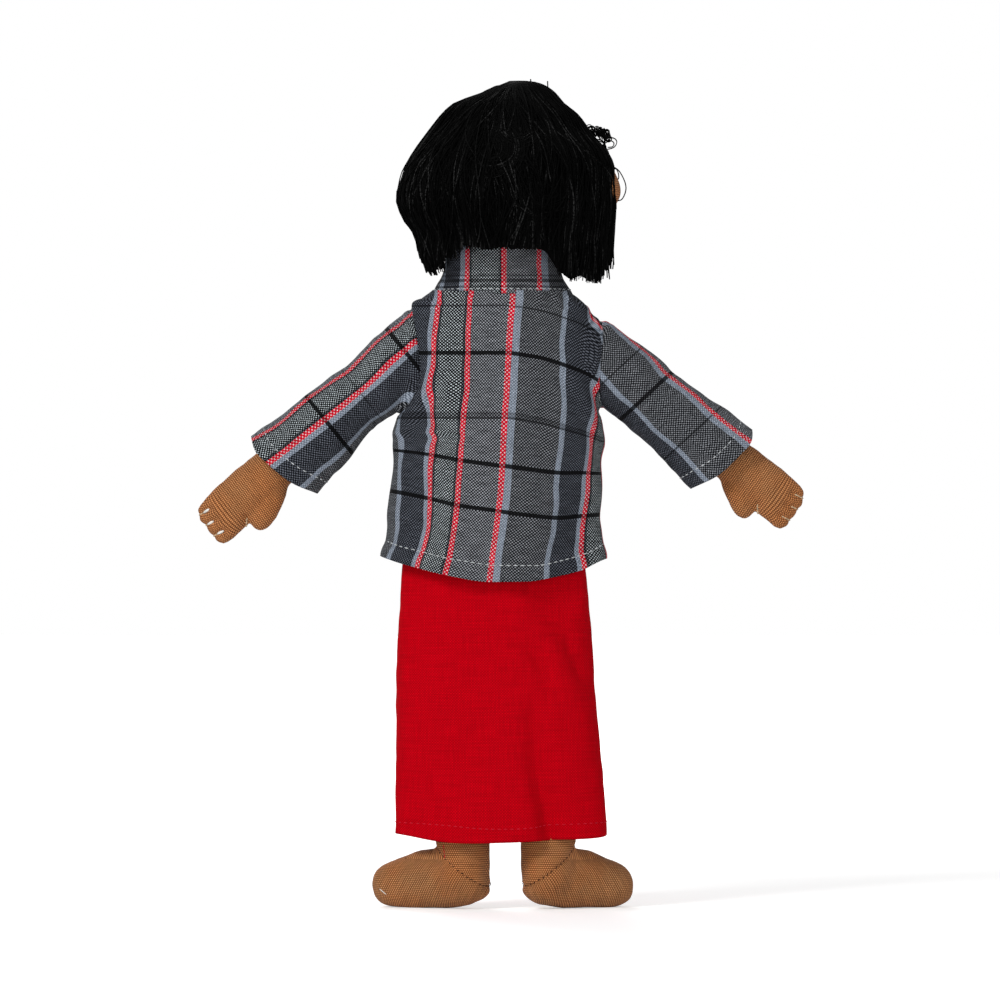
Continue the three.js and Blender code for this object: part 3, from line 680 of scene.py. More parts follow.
# Sets the cloth's UV of each point by lay(x, y, z), which gives the way across and along in millimetres
# for a point measured from the neck's axis, and on a tube of cloth the length of its way round.
def layCloth(piece, lay):
    bm = bmesh.new()
    bm.from_mesh(piece.data)
    layer = bm.loops.layers.uv.get("cloth") or bm.loops.layers.uv.new("cloth")
    places = [lay(v.co.x / mm - axisX, v.co.y / mm - axisY, v.co.z / mm) for v in bm.verts]
    for face in bm.faces:
        face.smooth = True
        found = [places[loop.vert.index] for loop in face.loops]
        top = max(p[0] for p in found)
        for loop, (across, along, *wrap) in zip(face.loops, found):
            if wrap and top - across > wrap[0] / 2:
                across += wrap[0]
            loop[layer].uv = (across, along)
    bm.to_mesh(piece.data)
    bm.free()


# A point given from the neck's axis, in the doll's place, and the same in metres
def put(x, y, z):
    return (axisX + x, axisY + y, z)


def metres(x, y, z):
    return Vector(put(x, y, z)) * mm


# Moves each point of a piece by shift(x, y, z, normal), in millimetres from the neck's axis.
def push(piece, shift):
    mesh = piece.data
    moved = []
    for vert in mesh.vertices:
        x, y, z = vert.co.x / mm - axisX, vert.co.y / mm - axisY, vert.co.z / mm
        moved.append(vert.co + Vector(shift(x, y, z, vert.normal)) * mm)
    for vert, place in zip(mesh.vertices, moved):
        vert.co = place
    mesh.update()


# How far a point lies from a line in the same plane, and what the line's rows say there besides.
def nearLine(point, line):
    best = (1e9,)
    for a, b in zip(line, line[1:]):
        start, end = Vector(a[:2]), Vector(b[:2])
        t = clamp((point - start).dot(end - start) / (end - start).length_squared)
        rest = (p + (q - p) * t for p, q in zip(a[2:], b[2:]))
        best = min(best, ((point - start.lerp(end, t)).length, *rest))
    return best


# Torso and neck
torsoRows = [  # height, half width, half depth
    (129.5, 32.9, 0.8), (134.5, 34.3, 5.3), (143.5, 35, 13.7), (157.5, 34.3, 18.4), (182.4, 32.6, 19),
    (210.1, 34.3, 19), (227, 32.6, 18.2), (242, 32.6, 17.1), (250, 32.6, 15.6), (255, 25.2, 14.4), (259, 14, 13),
    (265, 12.5, 12.5), (285.5, 12.5, 12.5),
]


def torsoPoint(turn, height):
    wide, deep = readRow(torsoRows, height)
    dent = rumple((math.cos(turn) * wide, math.sin(turn) * deep, height), 9, 0.35)
    return put((wide + dent) * math.cos(turn), (deep + dent) * math.sin(turn), height)


torso = pieceOf("stuffed_torso", sweep(torsoPoint, spread(129.5, 285.5, 90), 96, closed=True), skinCloth)
dress(torso, "torso", "brown_cotton", "torso_skin", "torso_stuffing", fill=0.9)

# Arms: a flat mitten with a thumb, sewn into fingers by stitches through its end
arm = dict(
    shoulder=(38, 233.6),  # where an arm's line starts, across and up
    droop={1: 39, -1: 36},  # degrees below level, for the left and the right arm
    dent=0.4,  # unevenness of the stuffing
    short={1: 0, -1: 3.8},  # the left and the right hand are drawn in by this much
    rows=[  # along the arm, half height, half depth, rise of the middle
        (-8, 1.6, 4.8, 0), (-5.8, 5.4, 7.2, 0), (0, 8, 8, 0), (24.9, 9.2, 8, 0.6), (56.5, 9.4, 8, 1.6),
        (74.6, 9.7, 7.6, 2.8), (90.4, 10.2, 6.4, 2.3), (101, 10.6, 5.8, 1.3), (108.6, 10.4, 4.6, 0.6),
        (111.8, 9.0, 3.2, 0.0), (113.4, 5.6, 1.6, -0.5),
    ],
    thumbRoot=(79.1, -4.85, 24),  # along the arm, up, and degrees that the thumb points down
    thumb=[  # along the thumb, half height, half depth
        (-7, 1.4, 2.0), (-2, 4.2, 4.4), (5, 5.4, 5.0), (11, 5.4, 5.0), (15.8, 4.7, 4.2), (18.4, 3.0, 2.6),
        (19.5, 1.2, 1.0),
    ],
    # Where each row of stitches starts and ends, along and up: between the fingers, and at the thumb
    fingers=[((111.8, 7.3), (106.6, 6.5)), ((113.6, 2.3), (107.6, 1.2)), ((112.8, -3.6), (107.8, -4.4))],
    crotch=((99.6, -9.4), (96.4, -6.2)),
)


shoulderX, shoulderZ = arm["shoulder"]
armSlope = {side: math.radians(droop) for side, droop in arm["droop"].items()}


# A point of an arm, given along it, up from its line and in depth, and the way back
def armOut(side, along, up, y):
    c, s = math.cos(armSlope[side]), math.sin(armSlope[side])
    return (side * (shoulderX + along * c + up * s), y, shoulderZ - along * s + up * c)


def armIn(side, x, y, z):
    c, s = math.cos(armSlope[side]), math.sin(armSlope[side])
    away, rise = side * x - shoulderX, z - shoulderZ
    return away * c - rise * s, away * s + rise * c, y


def armWay(side, along, up=0):
    return Vector(armOut(side, along, up, 0)) - Vector(armOut(side, 0, 0, 0))


# The place along an arm where its hand's form comes to lie once it is drawn in.
def drawnIn(side, along):
    return along - arm["short"][side] * fade(along, 76, 106)


def makeArm(side, name):
    def armPoint(turn, along):
        half, deep, rise = readRow(arm["rows"], along)
        c, s = rounded(turn, 2.2)
        return put(*armOut(side, drawnIn(side, along), rise + half * s, deep * c))

    def thumbPoint(turn, along):
        half, deep = readRow(arm["thumb"], along)
        c, s = rounded(turn, 2.1)
        root, low, slope = arm["thumbRoot"]
        slope = math.radians(slope)
        return put(*armOut(side, drawnIn(side, root + along * math.cos(slope) + half * s * math.sin(slope)),
                           low - along * math.sin(slope) + half * s * math.cos(slope), deep * c))

    made = stuffed(name, [sweep(armPoint, spread(-8, 113.2, 80), 48, closed=True),
                          sweep(thumbPoint, spread(-7, 19.5, 24), 28, closed=True)], skinCloth, 0.85, 5)
    lines = [[(drawnIn(side, p[0]), p[1]) for p in ends] for ends in arm["fingers"] + [arm["crotch"]]]

    # The stitches pull the two sides together and the edge back between the fingers.
    def shift(x, y, z, normal):
        along, up, deep = armIn(side, x, y, z)
        moved = normal * (rumple((x, y, z), 7, arm["dent"], side) + rumple((x, y, z), 2.6, 0.14, side))
        if along > 84:
            for line in lines:
                away = nearLine(Vector((along, up)), line)[0]
                pull = hump(away, 1.35)
                moved.y -= deep * min(0.34 * pull + 0.12 * hump(away, 3.6), 0.8)
                if along > 109 - arm["short"][side] or up < -7.5:
                    moved += armWay(side, -0.7) * pull
        return moved

    push(made, shift)

    # The cloth lies round the arm, and flat on the hand.
    def lay(x, y, z):
        along, up, deep = armIn(side, x, y, z)
        half, _, rise = readRow(arm["rows"], along)
        ratio = (up - rise) / half
        edge = clamp(ratio, -1)
        flat = fade(along, 62, 92)
        around = (1 - flat) * math.asin(edge) + flat * edge * 1.1 + ratio - edge
        return half * around + 60, along + 20 - abs(deep) * 0.9 * fade(along + arm["short"][side], 98, 112)

    layCloth(made, lay)
    return made


# The point of a piece's skin that is met first from a place along a direction.
def skinHit(piece, x, y, z, towards):
    found, place, normal, _ = piece.ray_cast(metres(x, y, z), Vector(towards))
    return (place / mm, normal) if found else (None, None)


for side, end in sides:
    made = makeArm(side, f"stuffed_arm_{end}")
    dress(made, f"arm_{end}", "brown_cotton", f"arm_skin_{end}", f"arm_stuffing_{end}", fill=0.85)
    sewn, wrapped = [], []
    for ends in arm["fingers"] + [arm["crotch"]]:
        long = side > 0 and ends[0][0] > 105  # the right hand's stitches reach less far in
        a, b = ((drawnIn(side, p[0]), p[1]) for p in ends)
        direction = armWay(side, b[0] - a[0], b[1] - a[1])
        inward = (Vector(b) - Vector(a)).normalized()
        for face in (1, -1):
            for step in ((3.6, 0.9, 2.2) if long else (0.9, 2.2, 3.4)):
                at = Vector(a) + inward * step
                place, normal = skinHit(made, *armOut(side, at.x, at.y, face * 20), (0, -face, 0))
                if place:
                    lie = direction - normal * direction.dot(normal)
                    if long and step > 3:
                        sewn.append((place + normal * 0.2, lie, 3.6, normal))
                    else:
                        wrapped.append((place + normal * 0.05, lie, 1.7, normal))
        # Over the edge
        outwards = armWay(side, -inward.x, -inward.y)
        place, normal = skinHit(made, *(Vector(armOut(side, a[0], a[1], 0)) + outwards * 20), -outwards)
        if place:
            wrapped.append((place + normal * 0.05, (0, 1, 0), 3.0, normal))
    if sewn:
        stitches(f"finger_stitches_{end}", sewn, 1.35, whiteThread, f"arm_{end}", "brown_cotton")
    stitches(f"finger_thread_{end}", wrapped, 0.8, creamThread, f"arm_{end}", "brown_cotton")
print("arms")

# Legs and feet: one stuffed form, cut at the slanted ankle seam
leg = dict(
    across=18.5,
    toeOut=24,  # degrees that the toes point forward of straight sideways
    lean=-1.9,  # the ankles are this far to the left of the hips
    length={1: 0.985, -1: 0.93},  # of the left and the right foot
    seam=(18.48, 38),  # height of the ankle seam at the leg's middle, and its slope
    rows=[  # height, half width, half depth
        (6, 5.9, 5.9), (8.2, 10, 10), (12, 11.8, 11.8), (53.8, 12, 12), (114.5, 13, 11.8), (121.25, 13.6, 6.6),
        (126.8, 13.6, 1.2), (129.1, 13, 0.5),
    ],
    foot=[  # along from the leg's axis to the toe, half width, bottom, top
        (-12.5, 2.5, 8.5, 12), (-11, 6.4, 5.4, 15.5), (-8, 8.8, 3.4, 18.5), (-3, 9.8, 1.6, 21.5),
        (5, 10, 0.2, 24.4), (13, 9.8, -0.5, 25.6), (19.3, 9.4, -0.5, 24.8), (25, 9.3, -0.5, 22.8),
        (31.2, 9.2, -0.4, 20.5), (36, 8.6, 0.6, 18.6), (39.4, 7.0, 2.4, 16.4), (41.2, 4.8, 4.8, 13.8),
        (42, 2.2, 7.4, 11),
    ],
)


def toeDirection(side):
    turn = math.radians(leg["toeOut"])
    return Vector((side * math.cos(turn), -math.sin(turn), 0))


def makeLeg(side, end):
    toe = toeDirection(side)
    sideways = Vector((0, 0, 1)).cross(toe)

    def legPoint(turn, height):
        wide, deep = readRow(leg["rows"], height)
        return put(side * leg["across"] + wide * math.cos(turn), deep * math.sin(turn), height)

    def footPoint(turn, along):
        wide, low, high = readRow(leg["foot"], along)
        c, s = rounded(turn, 2.3)
        place = toe * along * leg["length"][side] + sideways * wide * c
        z = (low + high) / 2 + (high - low) / 2 * s
        return put(side * leg["across"] + place.x, place.y, max(z, 0.02))

    forms = [sweep(legPoint, spread(6, 129.1, 90), 56, closed=True),
             sweep(footPoint, spread(-12.5, 42, 60), 40, closed=True)]
    whole = stuffed("leg_and_foot", forms, skinCloth, 0.95, 5)
    height, slope = leg["seam"]
    slope = math.radians(slope)
    seamNormal = (Vector((0, 0, 1)) * math.cos(slope) - toe * math.sin(slope)).normalized()
    seamPoint = Vector((side * leg["across"] + leg["lean"], 0, height))

    def shift(x, y, z, normal):
        lean = leg["lean"] * (1 - fade(z, 30, 115))
        away = (Vector((x + lean, y, z)) - seamPoint).dot(seamNormal)
        out = rumple((x, y, z), 8, 0.45, side * 3) + rumple((x, y, z), 2.8, 0.12, side)
        if z < 45:
            out += rumple((x, y, z), 3.2, 0.35, 7) * hump(away, 5) - 0.75 * hump(away, 1.1) - 0.35 * hump(away, 3.5)
        moved = normal * out + Vector((lean, 0, 0))
        if z + moved.z < 0.03:
            moved.z = 0.03 - z
        return moved

    push(whole, shift)
    pieces = []
    for part, normal in (("leg", seamNormal), ("foot", -seamNormal)):
        bm = bmesh.new()
        bm.from_mesh(whole.data)
        cut = keepSide(bm, put(*seamPoint), normal)
        if part == "leg":
            rim = [v.co / mm for v in {v for edge in cut for v in edge.verts}]
        pieces.append(pieceOf(f"stuffed_{part}_{end}", bm, skinCloth))
    bpy.data.objects.remove(whole)

    def layLeg(x, y, z):
        wide, away = readRow(leg["rows"], z)[0], x - side * leg["across"]
        edge = clamp(away / wide, -1)
        return wide * math.asin(edge) + 60 + away - edge * wide, z

    # The foot's cloth runs along the foot, a little askew, as in the photograph.
    def layFoot(x, y, z):
        away = Vector((x - side * leg["across"], y, 0))
        along, rise = away.dot(toe), z - 10
        arc = 11 * math.asin(clamp(rise / 11, -1))
        turn = math.radians(62)
        rounding = fade(-along, -2, 11) - fade(along / leg["length"][side], 30, 41)
        along += (abs(away.dot(sideways)) - 9) * 0.8 * rounding
        c, s = math.cos(turn), math.sin(turn)
        return along * c - arc * s + 90, along * s + arc * c + 30

    layCloth(pieces[0], layLeg)
    layCloth(pieces[1], layFoot)
    for made, part in zip(pieces, ("leg", "foot")):
        dress(made, f"leg_{end}", "brown_cotton", f"{part}_skin_{end}", f"{part}_stuffing_{end}", fill=0.9)
    # Stitches round the ankle, in order round the leg's axis
    middle = sum(rim, Vector()) / len(rim)
    flat = seamNormal.orthogonal().normalized()
    other = seamNormal.cross(flat)
    ringPoints = sorted(rim, key=lambda p: math.atan2((p - middle).dot(other), (p - middle).dot(flat)))
    sewn, reach = [], 0
    for a, b in zip(ringPoints, ringPoints[1:] + ringPoints[:1]):
        reach += (b - a).length
        if reach > 1.9:
            reach = 0
            outward = (a - middle).normalized()
            sewn.append((a + outward * 0.25 + seamNormal * 0.5, (b - a).normalized() + seamNormal * 0.5, 1.3,
                         outward))
    stitches(f"ankle_stitches_{end}", sewn, 0.42, darkThread, f"leg_{end}", "brown_cotton")
    return pieces


legs = {side: makeLeg(side, end) for side, end in sides}
# Sewing left over on the left foot: a red thread down the ankle and a pale stitch at the toe
for name, made, cloth, start, end, count in (
        ("ankle_red_thread", legs[1][0], redThread, (24.6, 28.0), (24.0, 21.8), 4),
        ("toe_stitch", legs[1][1], whiteThread, (52.4, 8.2), (49.2, 5.6), 2)):
    points = [Vector(start).lerp(Vector(end), t) for t in spread(0, 1, count)]
    rows = []
    for a, b in zip(points, points[1:]):
        (p, n), (q, _) = (skinHit(made, at.x, 60, at.y, (0, -1, 0)) for at in (a, b))
        if p and q:
            rows.append(((p + q) / 2 + n * 0.1, q - p, (q - p).length, n))
    stitches(name, rows, 0.45, cloth, "leg_left", "brown_cotton")
print("legs and feet")

# Jacket: a body and two sleeves formed as one, then cut along their seams into the sewn panels
jacket = dict(
    wall=0.9,  # thickness of the cloth
    hem=141,
    neck=264.8,
    cuff=71,
    lap=3.5,  # the right front reaches this far past the middle, over the left one
    rows=[  # height, half width, half depth, shift to the left
        (133, 47.4, 25.6, 3.9), (141, 46.7, 25.4, 3.9), (165.7, 45.0, 25, 3.1), (183, 44.8, 24, 0.9),
        (205.2, 44.6, 23.5, 0), (217.6, 42, 22.8, 0), (237.3, 37.8, 21.6, 0), (257.1, 38.5, 20.2, 0),
        (264.5, 29, 19, 0), (269, 27.5, 18.4, 0),
    ],
    sleeve=[  # along the arm, top, bottom, half depth
        (-15.6, 18.2, -17.3, 15.5), (-1.4, 18.6, -16.4, 14.6), (8.5, 18.7, -13.5, 13.6), (22, 18.7, -10.4, 12.6),
        (37, 18.7, -12.4, 12.4), (55.4, 18.7, -14.9, 12.8), (71, 18.9, -17.7, 13.2), (79, 19, -18.6, 13.4),
    ],
    seam={  # height, distance of the armhole seam from the neck's middle
        1: [(130, 70), (175, 65), (190, 58), (205, 50.5), (210, 46.2), (214, 41.5), (220, 37.4), (229, 34.6),
            (243, 35.8), (258, 38.3), (268, 39)],
        -1: [(130, 70), (175, 65), (190, 57), (205, 50), (210, 46), (213, 43.8), (220, 42.5), (228, 42.1),
             (246, 43.6), (255, 42.9), (268, 42)],
    },
    # Across, and how much higher than its middle the hem is there
    hemRise=[(-46, 10.2), (-43.5, 9.5), (-34, 4.3), (-22, 1.4), (-10.4, -0.4), (5.1, -0.4), (22.3, 2.2),
             (36.1, 5.6), (44.2, 7.8), (51, 10.5)],
    # Up from the sleeve's line, and how far past its length the sleeve reaches there
    cuffReach=[(-18, -4.6), (-4.8, 1.9), (4.5, 3.7), (12.3, 4.6), (18.7, 2.1)],
    # Height, and how far to the left the back's stripes lie there; jog adds to it left of the crease
    stripeLean=[(141, 6.5), (149.6, 5.5), (162.5, 3.7), (179.7, 1.7), (192.6, 0.9), (205.5, 0.3), (212, 0),
                (222, -0.8), (248.5, -2.1), (259.3, -3.0), (270, -3.8)],
    jog=[(141, 0), (178, 0.2), (189, 0.6), (197, 0.3), (202.8, 0.4), (204.2, 0.9), (206, 0.8), (210, 1.9),
         (218, 2.9), (222, 2.8), (227, 1.7), (233, 0.4), (248, 1.2), (262, 1.0)],
    # Across, and how much the weft's lines rise there, low on the back and high on it
    weftDroop=[(-50, -1.5), (-43, -2), (-36, -2.4), (-25, -3.3), (-10, -2), (4, 0), (18, 2), (31, 5), (45, 7.8),
               (50, 8.6)],
    weftDroopHigh=[(-43, -12.5), (-36.5, -8.8), (-30, -6.2), (-15, -1.8), (0, 0), (45, 0)],
    # Black weft lines: place along the cloth, width, and how solid they are
    wefts=[(171.1, 1.8, 0.95), (190.5, 1.8, 0.95), (210.4, 0.9, 0.75), (211.7, 2.4, 0.35), (212.4, 0.7, 0.5),
           (238.2, 1.8, 0.95), (258.4, 0.8, 0.7)],
    sleeveWefts={1: [(19, 1.8, 0.95), (45, 0.7, 0.5), (64, 1.8, 0.95)],
                 -1: [(30, 0.8, 0.7), (46.9, 1.8, 0.9), (72.6, 0.8, 0.7)]},
)


# The body is an oval that gets flatter over the shoulder blades.
def squareness(height):
    return 2.2 + 1.2 * fade(height, 203, 232)


def jacketPoint(turn, height):
    wide, deep, side = readRow(jacket["rows"], height)
    c, s = rounded(turn, squareness(height))
    return put(side + wide * c, deep * s, height)


def makeSleeve(side):
    def sleevePoint(turn, along):
        top, bottom, deep = readRow(jacket["sleeve"], along)
        c, s = rounded(turn, 2.5)
        return put(*armOut(side, along, (top + bottom) / 2 + (top - bottom) / 2 * s, deep * c))

    return sweep(sleevePoint, spread(-15.6, 79, 60), 64, closed=True)


# Folds of the jacket's body, in millimetres: small unevenness first, and drag lines from the armpits last.
def jacketFold(x, y, z):
    fold = rumple((x, y * 1.6, z * 0.8), 26, 2.2, 3) + rumple((x, y, z), 9, 0.5, 9)
    if y > 0:
        # A crease across the back, where the jacket is folded at the left armpit
        crease = z - 202.9 + 0.04 * (x - 20)
        creased = 0.6 * hump(crease, 2.2, 2.4) - 0.7 * hump(crease, 2.0, -0.9)
        fold += fade(x, 10, 24) * (1 - 0.6 * fade(x, 34, 42)) * creased
        # Long soft folds that fall from the shoulder blades
        fold += 0.9 * math.sin(x / 5.2 + z / 38) * hump(z, 32, 165)
    # Small gathers at the neck seam
    fold += 0.45 * math.sin(x / 1.25 + y / 2) * hump(z, 3.2, 261.5)
    for side in (1, -1):
        away, rise = side * x - 44, z - 210
        if away > -30 and rise > -60:
            pull = hump(away + 0.5 * rise, 3.4, -4) * hump(rise, 22)
            fold += (1.1 if y > 0 else 0.7) * pull
            fold -= 1.0 * hump(away + 0.5 * rise, 3.6, -10) * hump(rise, 24)
    return fold


def sleeveFold(side, along, up, y):
    fold = 0.9 * math.sin(along / 7.5 + up / 14 + side) * hump(along, 22, 18)
    fold += rumple((along, up, y), 15, 1.8, side * 5) + rumple((along, up, y), 6, 0.4, side)
    if up < 0:
        fold += 0.9 * math.sin(along / 3.4 + y / 9) * hump(along, 12, 12) * min(-up / 8, 1)
    return fold


def seamDistance(side, x, z):
    return side * x - readRow(jacket["seam"][side], z)[0]


forms = [sweep(jacketPoint, spread(133, 269, 100), 128, closed=True), makeSleeve(1), makeSleeve(-1)]
suit = stuffed("suit", forms, redCloth, 1.0, 6)


def shapeSuit(x, y, z, normal):
    side = 1 if x > 0 else -1
    away = seamDistance(side, x, z)
    along, up, deep = armIn(side, x, y, z)
    onSleeve = fade(away, -2, 3)
    out = onSleeve * sleeveFold(side, along, up, deep) + (1 - onSleeve) * jacketFold(x, y, z)
    if z > 205:
        out -= 0.95 * hump(away, 0.9)
        pucker = 0.5 + 0.5 * math.sin(z * 1.9 + 2 * noise.noise(Vector((z, y, side)) / 5))
        out += 0.6 * hump(away, 2.0, 2.6) * (0.6 + 0.6 * pucker)
    moved = normal * out
    if onSleeve < 1:
        rise = readRow(jacket["hemRise"], x)[0]
        moved.z += rise * (1 - fade(z, jacket["hem"], 172)) * (1 - onSleeve)
        moved += Vector((normal.x, normal.y, 0)) * 0.8 * (1 - fade(z, jacket["hem"], 150)) * (1 - onSleeve)
    if onSleeve > 0:
        moved += armWay(side, readRow(jacket["cuffReach"], up)[0] * fade(along, 40, jacket["cuff"]) * onSleeve)
    return moved


bm = bmesh.new()
bm.from_mesh(suit.data)
keepSide(bm, put(0, 0, jacket["hem"]), (0, 0, 1))
keepSide(bm, put(0, 0, jacket["neck"]), (0, 0, -1))
for side, _ in sides:
    cuff = put(*armOut(side, jacket["cuff"], 0, 0))
    keepSide(bm, cuff, armWay(side, -1), lambda x, y, z: seamDistance(side, x, z) > 0)
bm.to_mesh(suit.data)
bm.free()
push(suit, shapeSuit)


seamAt = 40  # where the armhole seams are put, side to side, while the panels are cut


# Cuts the suit along the armhole seams, which are made straight for the cut.
def panel(name, cuts, seams):
    bm = bmesh.new()
    bm.from_mesh(suit.data)
    for side, keep in seams:
        def straighten(sign):
            for v in bm.verts:
                v.co.x += sign * side * (readRow(jacket["seam"][side], v.co.z / mm)[0] - seamAt) * mm
        straighten(-1)
        keepSide(bm, put(side * seamAt, 0, 0), (side * keep, 0, 0))
        straighten(1)
    for point, normal in cuts:
        keepSide(bm, put(*point), normal)
    return pieceOf(name, bm, redCloth)


# Length of cloth round the jacket from the middle of the back, in steps of the way round the body
tableSteps, tableRise = 120, 3


def roundTable(height):
    wide, deep, _ = readRow(jacket["rows"], height)
    power = squareness(height)
    turns = [math.sin(t) for t in spread(-math.pi / 2, math.pi / 2, tableSteps + 1)]
    points = [(wide * c, deep * max(1 - abs(c) ** power, 0) ** (1 / power)) for c in turns]
    lengths = [0]
    for a, b in zip(points, points[1:]):
        lengths.append(lengths[-1] + math.dist(a, b))
    return [length - lengths[tableSteps // 2] for length in lengths]


roundTables = {height: roundTable(height) for height in range(130, 272, tableRise)}


def roundJacket(x, y, z):
    wide, deep, side = readRow(jacket["rows"], z)
    c, s = (x - side) / wide, abs(y) / deep
    power = squareness(z)
    c /= (abs(c) ** power + s ** power) ** (1 / power)
    place = (math.asin(clamp(c, -1)) / math.pi + 0.5) * tableSteps
    i = clamp(int(place), 0, tableSteps - 1)
    low = clamp(int((z - 130) // tableRise) * tableRise + 130, 130, 268)
    found = [table[i] + (table[i + 1] - table[i]) * (place - i) + side
             for table in (roundTables[low], roundTables[low + tableRise])]
    return found[0] + (found[1] - found[0]) * clamp((z - low) / tableRise)


def weftRise(x, z):
    droop = readRow(jacket["weftDroop"], x)[0]
    high = readRow(jacket["weftDroopHigh"], x)[0]
    return z - droop - (high - droop) * fade(z, 190 if x > 0 else 178, 212)


# The first red stripe is 30.7 mm left of the middle at the height of the armpits.
def layBack(x, y, z):
    # At the crease the stripes left of it are a thread or two out of line.
    jog = fade(x, 14, 26) * readRow(jacket["jog"], z)[0] - 0.8 * fade(-x, 14, 24) * fade(z, 180, 195)
    jog -= 2.4 * fade(-x, 18, 34) * (1 - fade(z, 172, 190))
    return 30.7 + jog - roundJacket(x, y, z) + readRow(jacket["stripeLean"], z)[0] + 70.3, weftRise(x, z)


def layFront(x, y, z):
    return 12 + roundJacket(x, y, z) + 70.3, z - 2 * math.cos(x / 22) + (4 if x > 0 else 0)


# The plaid's place on the top edge at the shoulder and the cuff, which way it goes round, and its slant.
def laySleeve(side, shoulder, cuff, turnWay, slant):
    def lay(x, y, z):
        along, up, deep = armIn(side, x, y, z)
        start = shoulder + (cuff - shoulder) * along / jacket["cuff"]
        top, bottom, depth = readRow(jacket["sleeve"], along)
        half = (top - bottom) / 2
        turn = math.atan2(deep / depth, (up - (top + bottom) / 2) / half)
        # Arc from the top edge, as on a flattened sleeve
        arc = 0.5 * (half + depth) * (turn - 0.10 * math.sin(2 * turn) - 0.06 * math.sin(4 * turn))
        return start + turnWay * arc + 140.6, along + 20 - slant * up, math.pi * (half + depth)

    return lay


plaidBack = plaidCotton("plaid_handloom_cotton_body", stripes, jacket["wefts"])
plaidSleeves = [plaidCotton(f"plaid_handloom_cotton_sleeve_{end}", stripes, jacket["sleeveWefts"][side])
                for side, end in sides]

mid, lap = (0, 0, 0), jacket["lap"]
body, front = [(1, -1), (-1, -1)], (mid, (0, -1, 0))
panels = [  # name, cuts, armhole seams and the side kept of each, CAD node, body, lay of the cloth, cloth
    ("jacket_back_panel", [(mid, (0, 1, 0))], body, "jacket_back", "torso", layBack, plaidBack),
    ("jacket_left_front", [front, ((-lap, 0, 0), (1, 0, 0))], body, "jacket_front_left", "torso", layFront,
     plaidBack),
    ("jacket_right_front", [front, ((lap, 0, 0), (-1, 0, 0))], body, "jacket_front_right", "torso", layFront,
     plaidBack),
    ("jacket_sleeve_left", [], [(1, 1)], "sleeve_left", None, laySleeve(1, 21.5, 21.5, -1, 0), plaidSleeves[0]),
    ("jacket_sleeve_right", [], [(-1, 1)], "sleeve_right", None, laySleeve(-1, 30, 20, 1, 0.2), plaidSleeves[1]),
]
garments = {}
for name, cuts, seams, cad, rides, lay, cloth in panels:
    made = panel(name, cuts, seams)
    made.data.materials[0] = cloth
    layCloth(made, lay)
    if name == "jacket_right_front":
        # The lap lies over the left front.
        push(made, lambda x, y, z, normal: Vector((0, -1.15, 0)) * fade(x, -7, -2.5))
    garments[name] = thicken(made, jacket["wall"])
    dress(made, rides, "plaid_handloom", cad)
bpy.data.objects.remove(suit)
print("jacket")

# Stand collar, open in front, of the same cloth cut in another place
collar = dict(
    rows=[(263.6, 29.8, 19.6), (264.8, 29.2, 19.2), (267.5, 27.6, 18.4), (270.7, 26, 18), (278, 24.6, 17.7),
          (284.0, 24, 17.6)],
    mouth=1.5,  # half the gap in front
    shift=-0.7,  # to the right of the neck's middle
    wall=1.5,  # two layers of the cloth
    seam=263,
)


def collarPoint(turn, height):
    wide, deep = readRow(collar["rows"], height)
    c, s = rounded(turn, 2.1)
    fold = 0.55 * math.sin(turn * 9 + height / 7) * (1 - fade(height, 265, 279))
    fold += rumple((c * 24, s * 18, height), 8, 0.9, 4)
    rise = 0.8 * math.sin(turn * 2 + 1) * fade(height, 270, 284)
    return put(collar["shift"] + (wide + fold) * c, (deep + fold) * s, height + rise)


bm = sweep(collarPoint, spread(263.6, 284.0, 22), 168)
uvLayer = bm.loops.layers.uv["cloth"]
for face in list(bm.faces):
    middle = face.calc_center_median()
    if middle.y < 0 and abs(middle.x / mm - axisX - collar["shift"]) < collar["mouth"]:
        bm.faces.remove(face)
        continue
    for loop in face.loops:
        loop[uvLayer].uv = (loop[uvLayer].uv.x + 157.8, loop[uvLayer].uv.y - collar["seam"] + 6)
# The collar's own weft lines, measured up from its seam
collarCloth = plaidCotton("plaid_handloom_cotton_collar", collarStripes,
                          [(9.6, 0.9, 0.6), (12.2, 1.4, 0.7), (14.4, 0.8, 0.5)])
made = garments["jacket_stand_collar"] = thicken(pieceOf("jacket_stand_collar", bm, collarCloth), collar["wall"])
dress(made, "torso", "plaid_handloom", "jacket_collar")

